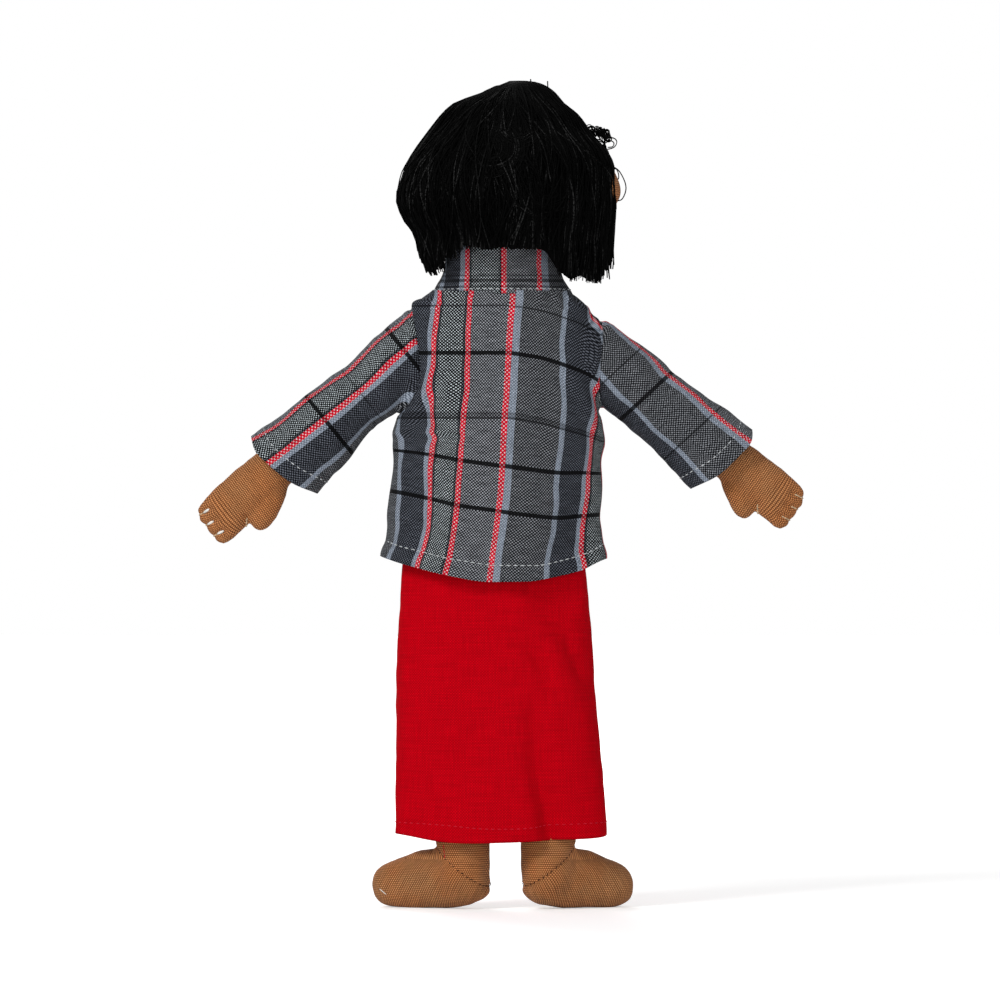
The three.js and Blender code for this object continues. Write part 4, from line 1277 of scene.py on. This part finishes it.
# Skirt: straight and slightly flattened, with one long soft fold
skirt = dict(
    rows=[  # height, half width, half depth, shift to the left
        (30, 45.2, 19, 0), (73.4, 44.0, 19, 1.1), (99.5, 42.9, 19, 2.2), (122.6, 41.1, 19.8, 3.0),
        (145.8, 39.1, 20.9, 3.4), (163.1, 37.5, 21.3, 1), (176, 37.8, 22.4, 0),
    ],
    # Valleys of the soft folds at the back: across, up, depth and width along each
    folds=[
        [(-14, 96, 0, 4), (-14.6, 79, 1.8, 4.5), (-16.8, 61.5, 3.2, 5), (-20.2, 46.4, 4.2, 5.6),
         (-24.5, 31, 5.2, 6), (-26.5, 24, 5.4, 6)],
        [(6, 122.5, 0, 3), (-3.9, 117.8, 1.6, 3.5), (-10.3, 114.4, 2.2, 3.8), (-15.5, 109.7, 2.6, 4),
         (-18.9, 104.5, 2.6, 4), (-21.5, 92, 0, 4)],
        [(-12, 144, 0.6, 6), (-23.2, 127, 2.8, 6.5), (-31, 117.4, 3.6, 6), (-35, 105, 2.8, 5), (-38, 88, 0, 5)],
        [(17, 130, 0, 6), (15, 95, 0.9, 7), (14, 60, 1.1, 7), (16, 30, 0.6, 7)],
    ],
    frontFolds=[
        [(-18, 110, 0, 5), (-20, 90, 1.0, 6), (-21, 60, 1.8, 6), (-25, 25, 2.4, 7)],
        [(6, 100, 0, 5), (9, 80, 1.0, 6), (11, 50, 1.8, 6), (12, 25, 2.4, 7)],
        [(28, 105, 0, 5), (28, 80, 0.9, 6), (30, 50, 0, 6)],
    ],
)


def valley(at, line):
    away, depth, width = nearLine(at, line)
    return depth * hump(away, width)


def skirtPoint(turn, height):
    wide, deep, side = readRow(skirt["rows"], height)
    c, s = rounded(turn, 2.3)
    at = Vector((side + wide * c, height))
    fold = -sum(valley(at, line) for line in skirt["folds" if s > 0 else "frontFolds"]) * min(1, 3 * abs(s))
    if s > 0:
        fold += 1.3 * hump(at.x, 3, -33.5) * hump(height, 16, 132)
    fold += 0.8 * math.sin(turn * 5 + 0.4) * (1 - fade(height, 30, 90))
    fold += 0.5 * math.sin(turn * 11) * fade(height, 140, 176)
    fold += (rumple((c * wide, s * deep, height * 0.45), 17, 1.4, 11)
             + rumple((c * wide, s * deep, height), 7, 0.3, 5))
    x, y = side + (wide + fold) * c, (deep + fold * 0.9) * s
    rise = 3.2 * abs(c) ** 3 * (1 - fade(height, 30, 70)) - 1.0 * (1 - fade(height, 30, 60))
    return put(x, y, height + rise + 0.5 * math.sin(turn * 4) * (1 - fade(height, 30, 50)))


skirtPiece = thicken(pieceOf("straight_skirt", sweep(skirtPoint, spread(30, 176, 110), 168), redCloth), 0.8)
garments["straight_skirt"] = skirtPiece
dress(skirtPiece, None, "red_handloom", "skirt")

# Waistband folded over its elastic and gathered by it: up its outside, over, and down inside
def bandPoint(turn, along):
    c, s = rounded(turn, 2.3)
    height = 175.2 + min(along, 18 - along)
    outside = 1 - fade(along, 8.4, 9.6)
    puff = max(1 - ((height - 179.5) / 4.8) ** 2, 0)
    fold = (0.35 * math.sin(turn * 38) + 0.6 * puff - 0.6) * outside
    return put((34.9 + 3.1 * outside + fold) * c, (19.7 + 2.8 * outside + fold) * s, height)


bm = sweep(bandPoint, [*spread(0, 8.4, 9), 8.8, 9.0, 9.2, *spread(9.6, 17.4, 7)], 304)
made = garments["gathered_waistband"] = thicken(pieceOf("gathered_waistband", bm, redCloth), 0.6)
dress(made, "torso", "red_handloom", "waistband")


def elasticPoint(turn, height):
    c, s = rounded(turn, 2.3)
    rib = 0.12 * math.sin(turn * 60)
    return put((36.6 + rib) * c, (21.3 + rib) * s, height)


made = thicken(pieceOf("ribbed_elastic", sweep(elasticPoint, spread(176.8, 182.8, 7), 240), elasticWeb), 0.9)
dress(made, "torso", "elastic_web", "waist_elastic")


# Finds a line on a piece by rays towards it, and sets a stitch every so often along the line.
def stitchLine(piece, rays, length, gap):
    hits = [hit for hit in (skinHit(piece, *start, towards) for start, towards in rays) if hit[0]]
    rows, travelled = [], 0
    for (a, normal), (b, _) in zip(hits, hits[1:]):
        travelled += (b - a).length
        if travelled >= length + gap and (b - a).length < 5:
            travelled = 0
            rows.append(((a + b) / 2 + normal * 0.08, b - a, length, normal))
    return rows


# Rays from outside towards the doll's middle line, every half degree from one direction to another
def raysRound(height, low, high):
    rays = []
    for halfDegrees in range(low * 2, high * 2):
        turn = math.radians(halfDegrees / 2)
        c, s = math.cos(turn), math.sin(turn)
        rays.append(((90 * c, 90 * s, height(turn)), (-c, -s, 0)))
    return rays


# Topstitching in pale thread along the hem, the collar's seam and the cuffs
def hemHeight(turn):
    reach = 1 / math.hypot(math.cos(turn) / 46, math.sin(turn) / 25.2)
    return jacket["hem"] + 6.9 + readRow(jacket["hemRise"], 3.9 + reach * math.cos(turn))[0]


sewn = []
for name, low, high in (("back_panel", 4, 176), ("left_front", 274, 356), ("right_front", 184, 264)):
    sewn += stitchLine(garments["jacket_" + name], raysRound(hemHeight, low, high), 2.1, 0.8)
sewn += stitchLine(garments["jacket_stand_collar"], raysRound(lambda turn: 265.6, -75, 255), 1.7, 1.1)
stitches("jacket_topstitching", sewn, 0.5, greyThread, "torso", "plaid_handloom")
for side, end in sides:
    rays = []
    for turn in spread(0, 2 * math.pi, 260):
        c, s = math.cos(turn), math.sin(turn)
        along = jacket["cuff"] - 7.2 + readRow(jacket["cuffReach"], 0.5 + 16.5 * c)[0]
        outside, inside = Vector(armOut(side, along, 0.5 + 50 * c, 50 * s)), Vector(armOut(side, along, 0.5, 0))
        rays.append((outside, (inside - outside).normalized()))
    sewn = stitchLine(garments[f"jacket_sleeve_{end}"], rays, 1.8, 1.1)
    stitches(f"cuff_topstitching_{end}", sewn, 0.5, greyThread, f"arm_{end}", "plaid_handloom")
hemLine = raysRound(lambda turn: 34.9 + 3.2 * abs(math.cos(turn)) ** 3 * 0.8, 0, 360)
skirtHem = stitches("skirt_hem_stitching", stitchLine(skirtPiece, hemLine, 1.7, 0.9), 0.45, redThread, None,
                    "red_handloom")

# Buttons: a raised rim, a dished middle and four holes with thread crossed through them
button = dict(
    heights=[253.8, 228.8, 203.8, 178.8],
    profile=[(0, 1.1), (2.5, 1.1), (2.9, 1.6), (3.5, 1.8), (3.9, 1.4), (4.0, 0.8), (3.7, 0.2)],  # out, up
)
for index, height in enumerate(button["heights"]):
    place, normal = skinHit(garments["jacket_right_front"], 0, -60, height, (0, 1, 0))
    bm = bmesh.new()
    verts = [bm.verts.new((x * mm, 0, z * mm)) for x, z in button["profile"]]
    edges = [bm.edges.new(pair) for pair in zip(verts, verts[1:])]
    bmesh.ops.spin(bm, geom=verts + edges, cent=(0, 0, 0), axis=(0, 0, 1), angle=2 * math.pi, steps=28,
                   use_merge=True)
    bmesh.ops.remove_doubles(bm, verts=bm.verts, dist=1e-6)
    bmesh.ops.holes_fill(bm, edges=[e for e in bm.edges if e.is_boundary], sides=40)
    turned = Matrix.Translation((place + normal * 0.1) * mm) @ normal.to_track_quat("Z", "Y").to_matrix().to_4x4()
    bmesh.ops.transform(bm, matrix=turned, verts=bm.verts)
    bmesh.ops.recalc_face_normals(bm, faces=bm.faces)
    made = pieceOf(f"button_{index + 1}", bm, buttonPlastic)
    dress(made, "torso", "button_plastic", f"jacket_button_{index + 1}")
    middle = turned @ Vector((0, 0, 1.25 * mm)) / mm
    crossed = [(middle, turned.to_3x3() @ Vector(way), 3.0, normal) for way in ((1, 1, 0), (-1, 1, 0))]
    stitches(f"button_thread_{index + 1}", crossed, 0.55, darkThread, "torso", "button_plastic")
print("collar, skirt, buttons")

# Head, turned to the doll's right on its neck
head = dict(
    turn=-45,
    middle=-11,  # the head's middle is this far in front of the neck's axis
    rows=[  # height, half width
        (284.6, 16.8), (287.9, 24.8), (295.8, 34.4), (308.4, 40), (321.6, 38), (333.4, 29.6), (342.7, 20.8),
        (348, 12.8), (350.6, 5.6),
    ],
)
headTurn = math.radians(head["turn"])


# From the head's own directions, across and back from the face, to the doll's, and the way back
def headOut(x, y, z):
    c, s = math.cos(headTurn), math.sin(headTurn)
    return (x * c - y * s, x * s + y * c, z)


def headIn(x, y):
    c, s = math.cos(headTurn), math.sin(headTurn)
    return x * c + y * s, -x * s + y * c


def headPoint(turn, height):
    wide = readRow(head["rows"], height)[0]
    c, s = rounded(turn, 2.3)
    dent = rumple((c * wide, s * wide, height), 14, 0.5, 2)
    return put(*headOut((wide + dent) * c, head["middle"] + (wide + dent) * s, height))


headPiece = pieceOf("stuffed_head", sweep(headPoint, spread(284.6, 350.6, 70), 128, closed=True), skinCloth)


# A small nose, and a slight hollow at the eyes
def shapeFace(x, y, z, normal):
    across, _ = headIn(x, y)
    nose = 2.4 * hump(across, 3.4) * hump(z, 4.2, 311.5)
    cheeks = hump(abs(across), 8, 17) * hump(z, 7, 306)
    eyes = 0.8 * hump(abs(across), 6, 13.5) * hump(z, 4, 319.6)
    # The cheek that shows past the hair
    turned = math.degrees(math.atan2(y + 7.8, x + 7.8)) % 360
    cheek = 3.5 * hump(turned, 17, 183) * hump(z, 10.5, 308)
    # The rest stays under the hair.
    tucked = 2.4 * hump(turned, 26, 182) * fade(z, 318.5, 323)
    tucked += 1.5 * fade(between(turned, 45), 50, 62)
    return normal * (nose + cheeks - eyes + cheek - tucked)


push(headPiece, shapeFace)


def layHead(x, y, z):
    across, back = headIn(x, y)
    return 39 * math.atan2(across, head["middle"] - back) + 200, z, 39 * 2 * math.pi


layCloth(headPiece, layHead)
dress(headPiece, "head", "brown_cotton", "head_skin", "head_stuffing", fill=0.95)


# Embroidery: threads side by side, each from one point of the face to another, given as across and up
def embroider(name, lines, thickness, cloth, slot, cad=None):
    sewn = []
    for ends in lines:
        hits = [skinHit(headPiece, *headOut(across, -80, up), headOut(0, 1, 0)) for across, up in ends]
        (p, n), (q, m) = hits
        outward = (n + m).normalized()
        sewn.append(((p + q) / 2 + outward * 0.2, q - p, (q - p).length + 0.5, outward))
    made = stitches(name, sewn, thickness, cloth, "head", slot)
    if cad:
        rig.replaces(made, cad)


def inEllipse(middle, wide, high, step):
    lines = []
    for x in spread(-wide * 0.96, wide * 0.96, round(2 * wide / step)):
        reach = high * math.sqrt(1 - (x / wide) ** 2)
        lines.append(((middle[0] + x, middle[1] - reach), (middle[0] + x, middle[1] + reach)))
    return lines


face = dict(
    eye=(13.5, 319.6),  # from the middle, and height
    brow=326.6,
    mouth=301.6,
)
eyeX, eyeZ = face["eye"]
for side, end in sides:
    disc = inEllipse((side * eyeX, eyeZ), 3.3, 3.4, 0.42)
    light = inEllipse((side * eyeX + 1.1, eyeZ + 1.3), 0.8, 0.8, 0.4)
    brow, lid = [], []
    for i in range(8):
        low, high = (face["brow"] + 1.3 * math.sin(j / 8 * math.pi) for j in (i, i + 1))
        brow.append(((side * (8.5 + 1.15 * i), low), (side * (9.9 + 1.15 * i), high + 0.2)))
    for t in spread(0.25, 2.65, 11):
        lid.append([(side * (eyeX + 3.9 * math.cos(a)), eyeZ + 3.9 * math.sin(a)) for a in (t, t + 0.24)])
    embroider(f"sewn_eye_{end}", disc, 0.55, eyeCotton, "eye_thread", f"eye_{end}")
    embroider(f"eye_light_{end}", light, 1.0, whiteThread, "eye_thread")
    embroider(f"sewn_brow_{end}", brow, 0.6, eyeCotton, "eye_thread")
    embroider(f"sewn_lid_{end}", lid, 0.5, eyeCotton, "eye_thread")
lips = []
for x in spread(-6.2, 6.2, 30):
    bow, line = 1 - (x / 6.7) ** 2, face["mouth"] + 0.055 * x * x
    lips.append(((x, line - 1.4 * bow), (x, line + 0.1 + 0.7 * bow - 0.4 * hump(x, 1.2))))
embroider("sewn_mouth", lips, 0.5, lipCotton, "mouth_thread", "mouth")
print("head and face")

# Hair: a cap of black cloth under some 2,700 black threads
hair = dict(
    seed=21,
    thick=0.52,  # of one thread
    middle=-4.0,  # the hair's middle is this far to the right of the neck's axis
    back=-6.0,  # and this far in front of it
    depth=0.97,  # its depth as a share of its width
    crown=(-5, -4),  # where the threads part, across and back
    top=355.4,
    radius=45,  # length of the way round the head for one radian
    rows=[  # height, how far the hair reaches to the left and to the right of its middle
        (268, 33.5, 43), (273.5, 35.2, 43), (278.1, 37.1, 43), (283, 38.4, 42.6), (289, 39.4, 42.5),
        (292.1, 41.2, 42.8), (295.2, 43.4, 43.0), (300.7, 45.6, 43.4), (305.5, 46.8, 43.5), (311, 45.6, 43.4),
        (317.8, 43.9, 42.8), (324, 40.6, 40.8), (333, 34.2, 33.8), (339, 29.6, 29.2), (342, 27.2, 26.2),
        (346, 22.6, 20.6), (348, 17.8, 18.9), (351, 9.8, 16.4), (353.5, 4.5, 13.2), (355.2, 1.5, 9),
    ],
    ends=[  # way round from the doll's left in degrees, height of the strands' ends there
        (0, 279), (8, 276), (14, 272.8), (20, 275.5), (25, 273.6), (32, 277), (41, 278), (50, 281), (58, 283.2),
        (72, 283.6), (105, 283.2), (113, 281.6), (119, 276), (125, 272.6), (132, 270.2), (140, 271.6), (150, 269.2),
        (156, 272), (161, 277.5), (168, 274.5), (174, 279), (180, 283), (260, 284), (300, 284), (345, 284),
        (360, 279),
    ],
    face=(225, 47.5, 331),  # where the face is: direction, how far to each side, height of the fringe's ends
)


def hairPlace(turn, height, out=0.0):
    left, right = readRow(hair["rows"], height)
    c, s = math.cos(turn), math.sin(turn)
    wide = right + (left - right) * (0.5 + 0.5 * c) + out
    return Vector((hair["middle"] + wide * c, hair["back"] + wide * hair["depth"] * s, height))


def strandEnd(turn):
    degrees = math.degrees(turn) % 360
    height = readRow(hair["ends"], degrees)[0]
    towards, reach, fringe = hair["face"]
    away = between(degrees, towards)
    fringe -= 12 * fade(away, 30, 43)
    return fringe + (height - fringe) * fade(away, reach - 2, reach + 3)


# The cap: what shows between the threads is black too.
capTop = 353.0


def capPoint(turn, share):
    foot = strandEnd(turn) - 0.6 + 1.8 * fade(math.cos(turn), 0.4, 0.6)
    return put(*hairPlace(turn, capTop - (capTop - foot) * share, -1.4 if share < 1 else -3))


bm = sweep(capPoint, [0, 0.004, 0.012, 0.03, 0.06] + spread(0.1, 1, 40), 160)
rim = [e for e in bm.edges if e.is_boundary and min(v.co.z for v in e.verts) > (capTop - 0.1) * mm]
bmesh.ops.holes_fill(bm, edges=rim, sides=200)
dress(thicken(pieceOf("hair_cap", bm, hairThread), 0.8), "head", "hair_thread")

# Threads. Each starts on the crown, runs down over the head and ends ragged. They lie in locks,
# whose threads share a sideways wave, a lift and an end.
dice = random.Random(hair["seed"])
crownX, crownY = hair["crown"]

# The way from the crown down over the head, by its length and by its height
profile = [(hair["top"], 0)] + [(height, (left + right) / 2) for height, left, right in hair["rows"][::-1]]
profileLengths = [0.0]
for a, b in zip(profile, profile[1:]):
    profileLengths.append(profileLengths[-1] + math.dist(a, b))


def heightAt(length):
    i = clamp(bisect.bisect_right(profileLengths, length) - 1, 0, len(profileLengths) - 2)
    t = (length - profileLengths[i]) / (profileLengths[i + 1] - profileLengths[i])
    return profile[i][0] + (profile[i + 1][0] - profile[i][0]) * min(t, 1)


def lengthTo(height):
    low, high = 0.0, profileLengths[-1]
    for _ in range(24):
        middle = (low + high) / 2
        low, high = (middle, high) if heightAt(middle) > height else (low, middle)
    return low


cadHair = {"back": "hair_back", "left": "hair_side_left", "right": "hair_side_right", "fringe": "hair_fringe"}
groups = {group: [] for group in cadHair}


def groupOf(turn):
    degrees = math.degrees(turn) % 360
    towards, reach, _ = hair["face"]
    if between(degrees, towards) < reach:
        return "fringe"
    if 30 <= degrees <= 150:
        return "back"
    return "left" if degrees < 30 or degrees > 275 else "right"


# A thread's lean and wave, the height of its end and the lowest that it may end. Beside the face the
# threads hang straight, clear of it, and behind the neck and on the left they end above the collar.
def fall(turn, lean, wave, phase, apart=0.0):
    towards, reach, _ = hair["face"]
    loose = fade(between(math.degrees(turn), towards), reach - 6, reach + 34)
    lean, wave = lean * (0.12 + 0.88 * loose), wave * (0.3 + 0.7 * loose)
    last = turn + apart * 0.5 + (lean + wave * math.sin(phase + 5.5)) / hair["radius"]
    lowest = 281.8 if 58 < math.degrees(last) % 360 < 117 else 271.6 if math.cos(last) > 0.5 else 262
    return lean, wave, strandEnd(last), lowest


# A thread of some points down the head, from a share start of its way to its end. out is how far it
# lies off the head, apart its place in its lock, and sink how deep it starts in the crown.
def addThread(turn, out, end, lean, wave, phase, points=20, start=0.0, apart=0.0, sink=0.0):
    total = lengthTo(end)
    path = []
    for t in spread(start, 1, points):
        height = heightAt(total * t)
        swing = lean * t + wave * math.sin(phase + t * 5.5) * t
        lump = rumple((30 * math.cos(turn), 30 * math.sin(turn), height * 0.5), 9, 1.6, 6) * min(1, 3 * t)
        lump += out * min(1, 4 * t)
        # Low down the threads stay clear of the collar.
        lump -= min(lump, 0) * fade(height, 289, 281)
        place = hairPlace(turn + apart * (1 - 0.5 * t ** 4) + swing / hair["radius"], height, lump)
        # The crown is not over the hair's middle, and the threads are close together there.
        near, tight = 1 - fade(total * t, 4, 46), 0.1 + 0.9 * fade(total * t, 0, 7)
        place += Vector((crownX - hair["middle"], crownY - hair["back"], -sink)) * near
        path.append(put(crownX + (place.x - crownX) * tight, crownY + (place.y - crownY) * tight, place.z))
    groups[groupOf(turn)].append(path)


locks = 120
for lock in range(locks):
    turn = (lock + dice.uniform(-0.45, 0.45)) / locks * 2 * math.pi
    lean, wave, phase = dice.gauss(0, 6.0), dice.uniform(0.8, 4.2), dice.uniform(0, 6.3)
    out, endShift, sink = dice.uniform(-1.2, 1.2), dice.gauss(0, 1.3), dice.uniform(0, 1.7)
    for _ in range(dice.randint(14, 20)):
        apart = dice.gauss(0, 0.032)
        ownPhase = phase + dice.gauss(0, 0.3)
        ownLean, ownWave, end, lowest = fall(turn, lean + dice.gauss(0, 1.4), wave, ownPhase, apart)
        end += endShift + dice.gauss(0, 1.1) + (dice.uniform(-2.6, 1) if dice.random() < 0.2 else 0)
        addThread(turn, out + dice.uniform(-0.6, 0.7), max(end, lowest), ownLean, ownWave, ownPhase,
                  apart=apart, sink=sink + dice.uniform(0, 0.4))
# Looser threads that cross the others
for _ in range(380):
    own, phase = dice.uniform(0, 2 * math.pi), dice.uniform(0, 6.3)
    lean, wave, end, lowest = fall(own, dice.gauss(0, 17), dice.uniform(1, 9), phase)
    end = max(end + dice.gauss(0.8, 1.2), lowest + 0.6, 272)
    addThread(own, dice.uniform(0.9, 1.9), end, lean, wave, phase, 24)
# Short curved ends over the middle of the back
for _ in range(70):
    own = math.pi / 2 + dice.gauss(-0.15, 0.3)
    start = dice.uniform(0.2, 0.5)
    addThread(own, dice.uniform(1.0, 2.0), 284 + dice.uniform(0, 34), dice.gauss(0, 30), dice.uniform(4, 14),
              dice.uniform(0, 6.3), 18, start)


# A point on the back of the hair, given across and up
def onHair(x, z, out):
    left, right = readRow(hair["rows"], z)
    c = clamp((x - hair["middle"]) / ((left + right) / 2), -0.98, 0.98)
    return (x, hairPlace(math.acos(c), z, out).y, z)


# Arcs of thread round the whorl, and round two bare spots to the right of it
whorls = [  # middle across and up, least and most radius, first and last direction, number of threads
    (4.5, 325, 3, 15, 2.4, 5.6, 70), (-7, 336, 6, 14, 3.6, 7.2, 14), (-20, 308, 4, 16, 4.0, 6.2, 26),
]
for middleX, middleZ, low, high, first, last, count in whorls:
    for _ in range(count):
        radius, begin = dice.uniform(low, high), dice.uniform(first - 0.5, first + 1)
        turned, squeeze, out = dice.uniform(0.8, last - first), dice.uniform(0.7, 1.2), dice.uniform(1.2, 2.0)
        arc = []
        for a in spread(begin, begin + turned, 12):
            arc.append(put(*onHair(middleX + radius * math.cos(a), middleZ + squeeze * radius * math.sin(a), out)))
        groups["back"].append(arc)
# Loops that stand up along the top
for _ in range(16):
    begin, length = dice.uniform(-12, 2), dice.uniform(5, 12)
    arc, lift = [], dice.uniform(0.3, 1.1)
    for t in spread(0, 1, 9):
        x = begin + length * t
        top = 355.0 - 0.062 * max(x + 8, 0) ** 1.55 - 0.05 * max(-12 - x, 0) ** 1.6
        arc.append(put(x, dice.uniform(-1, 1) - 5, top - 0.3 + lift * math.sin(math.pi * t)))
    groups["back"].append(arc)


# A free thread through the points given as across, back and up from the neck's axis.
def freeThread(points, steps=3):
    path = []
    for i in range(len(points) - 1):
        a, b, c, d = (Vector(points[clamp(i + k, 0, len(points) - 1)]) for k in (-1, 0, 1, 2))
        for j in range(steps):
            t = j / steps
            bend = (2 * a - 5 * b + 4 * c - d) * t ** 2 + (3 * b - 3 * c + d - a) * t ** 3
            path.append(put(*(0.5 * (2 * b + (c - a) * t + bend))))
    return path + [put(*points[-1])]


# Curls of the fringe that stand out past the hair, with two open loops and two long thin ones
fringe = groups["fringe"]
for _ in range(64):
    middle = Vector((-dice.uniform(37, 46.3), -6 + dice.uniform(-5, 4), 0))
    middle.z = 335.2 - 0.3 * (abs(middle.x) - 38) + dice.uniform(-2.4, 1.2)
    size, phase, drift = dice.uniform(0.6, 1.5), dice.uniform(0, 6.3), dice.uniform(-0.5, 0.5)
    fringe.append(freeThread([middle + Vector((size * math.cos(phase + k), drift * k, size * math.sin(phase + k)))
                              for k in spread(0, 5.2, 7)]))
for _ in range(22):
    z = dice.uniform(318, 333)
    root = Vector((-40.5 - (333 - z) * 0.32, -8 + dice.uniform(-4, 3), z))
    steps = ((0, 0, 0), (-2.0, 0.3, -0.6), (-3.3 - dice.uniform(0, 1), 0.2, -2.4),
             (-3.0, 0, -4.4 - dice.uniform(0, 2)))
    fringe.append(freeThread([root + Vector(step) for step in steps]))


# A point of the doll's plane, from the pixel that shows it
def fromPhoto(px, py, y):
    across, floor = photo["foot"]
    return ((across - px) * photo["pixel"], y, (floor - py) * photo["pixel"])


loops = [
    [(604, 141), (609, 137), (615, 138), (617, 142), (614, 147), (607, 149), (604, 148)],
    [(605, 143), (610, 140), (614, 142), (613, 146), (608, 147)],
    [(611, 166), (617, 169), (619, 176), (617, 180), (613, 180)],
    [(611, 165), (619, 170), (625, 181), (626, 190), (622, 199), (616, 200), (613, 196)],
]
for loop in loops:
    fringe.append(freeThread([fromPhoto(px, py, -9 - 1.5 * math.sin(i)) for i, (px, py) in enumerate(loop)], 5))
for px, py, foot in ((531, 79, 85), (548, 81, 93), (562, 101, 108)):  # ends that stand up
    fringe.append(freeThread([fromPhoto(px, foot, -5), fromPhoto(px - 0.4, py, -5)]))


# Turns the paths into round threads. One in six is a lit thread, which takes the material with brighter painted
# glints.
def threadsPiece(name, paths, thickness):
    bm = bmesh.new()
    for index in (0, 1):
        curve = bpy.data.curves.new(name, "CURVE")
        curve.dimensions = "3D"
        curve.bevel_depth = thickness / 2 * mm
        curve.bevel_resolution = 0
        curve.use_fill_caps = True
        for path in (path for i, path in enumerate(paths) if (i % 6 == 5) == index):
            spline = curve.splines.new("POLY")
            spline.points.add(len(path) - 1)
            for point, place in zip(spline.points, path):
                point.co = (*(Vector(place) * mm), 1)
        drawn = bpy.data.objects.new("drawn", curve)
        scene.collection.objects.link(drawn)
        mesh = bpy.data.meshes.new_from_object(drawn.evaluated_get(bpy.context.evaluated_depsgraph_get()))
        bpy.data.objects.remove(drawn)
        before = len(bm.faces)
        bm.from_mesh(mesh)
        bm.faces.ensure_lookup_table()
        for face in bm.faces[before:]:
            face.material_index = index
    made = pieceOf(name, bm, hairThread)
    made.data.materials.append(litThread)
    return made


for group, paths in groups.items():
    dress(threadsPiece(f"hair_threads_{group}", paths, hair["thick"]), "head", "hair_thread", cadHair[group])
    print("hair,", group, len(paths), "threads")

# Cloth that crosses a joint, and the size each sheet was cut to
for side, end in sides:
    # The bend starts past the upright armhole seam, so that the sleeve stays sewn on.
    near = 42 if side > 0 else 44.5
    start, far = metres(side * near, 0, shoulderZ), metres(side * (near + 21), 0, shoulderZ)
    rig.blend(garments[f"jacket_sleeve_{end}"], "torso", f"arm_{end}", start=start, end=far)
for made in (skirtPiece, skirtHem):
    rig.blend(made, "torso", "leg_left", start=metres(0, 0, 151), end=metres(0, 0, 105))

cuts = {  # width and length of each flat cut, how it is held, what it rests on
    "jacket_back_panel": ((0.108, 0.124), "hung", ["stuffed_torso"]),
    "jacket_left_front": ((0.064, 0.124), "hung", ["stuffed_torso"]),
    "jacket_right_front": ((0.064, 0.124), "hung", ["stuffed_torso"]),
    "jacket_sleeve_left": ((0.094, 0.082), "hung", ["stuffed_arm_left"]),
    "jacket_sleeve_right": ((0.094, 0.082), "hung", ["stuffed_arm_right"]),
    "jacket_stand_collar": ((0.135, 0.021), "folded", ["jacket_back_panel"]),
    "straight_skirt": ((0.222, 0.146), "gathered", ["gathered_waistband"]),
    "gathered_waistband": ((0.2, 0.018), "folded", ["stuffed_torso"]),
}
for name, (flat, held, under) in cuts.items():
    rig.sheet(garments[name], flat=flat, held=held, rests_on=under)
print("joints and sheets")

low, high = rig.bounds()
with open("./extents.json", "w") as file:
    json.dump({"cad": [list(cadLow), list(cadHigh)], "visual": [list(low), list(high)]}, file)
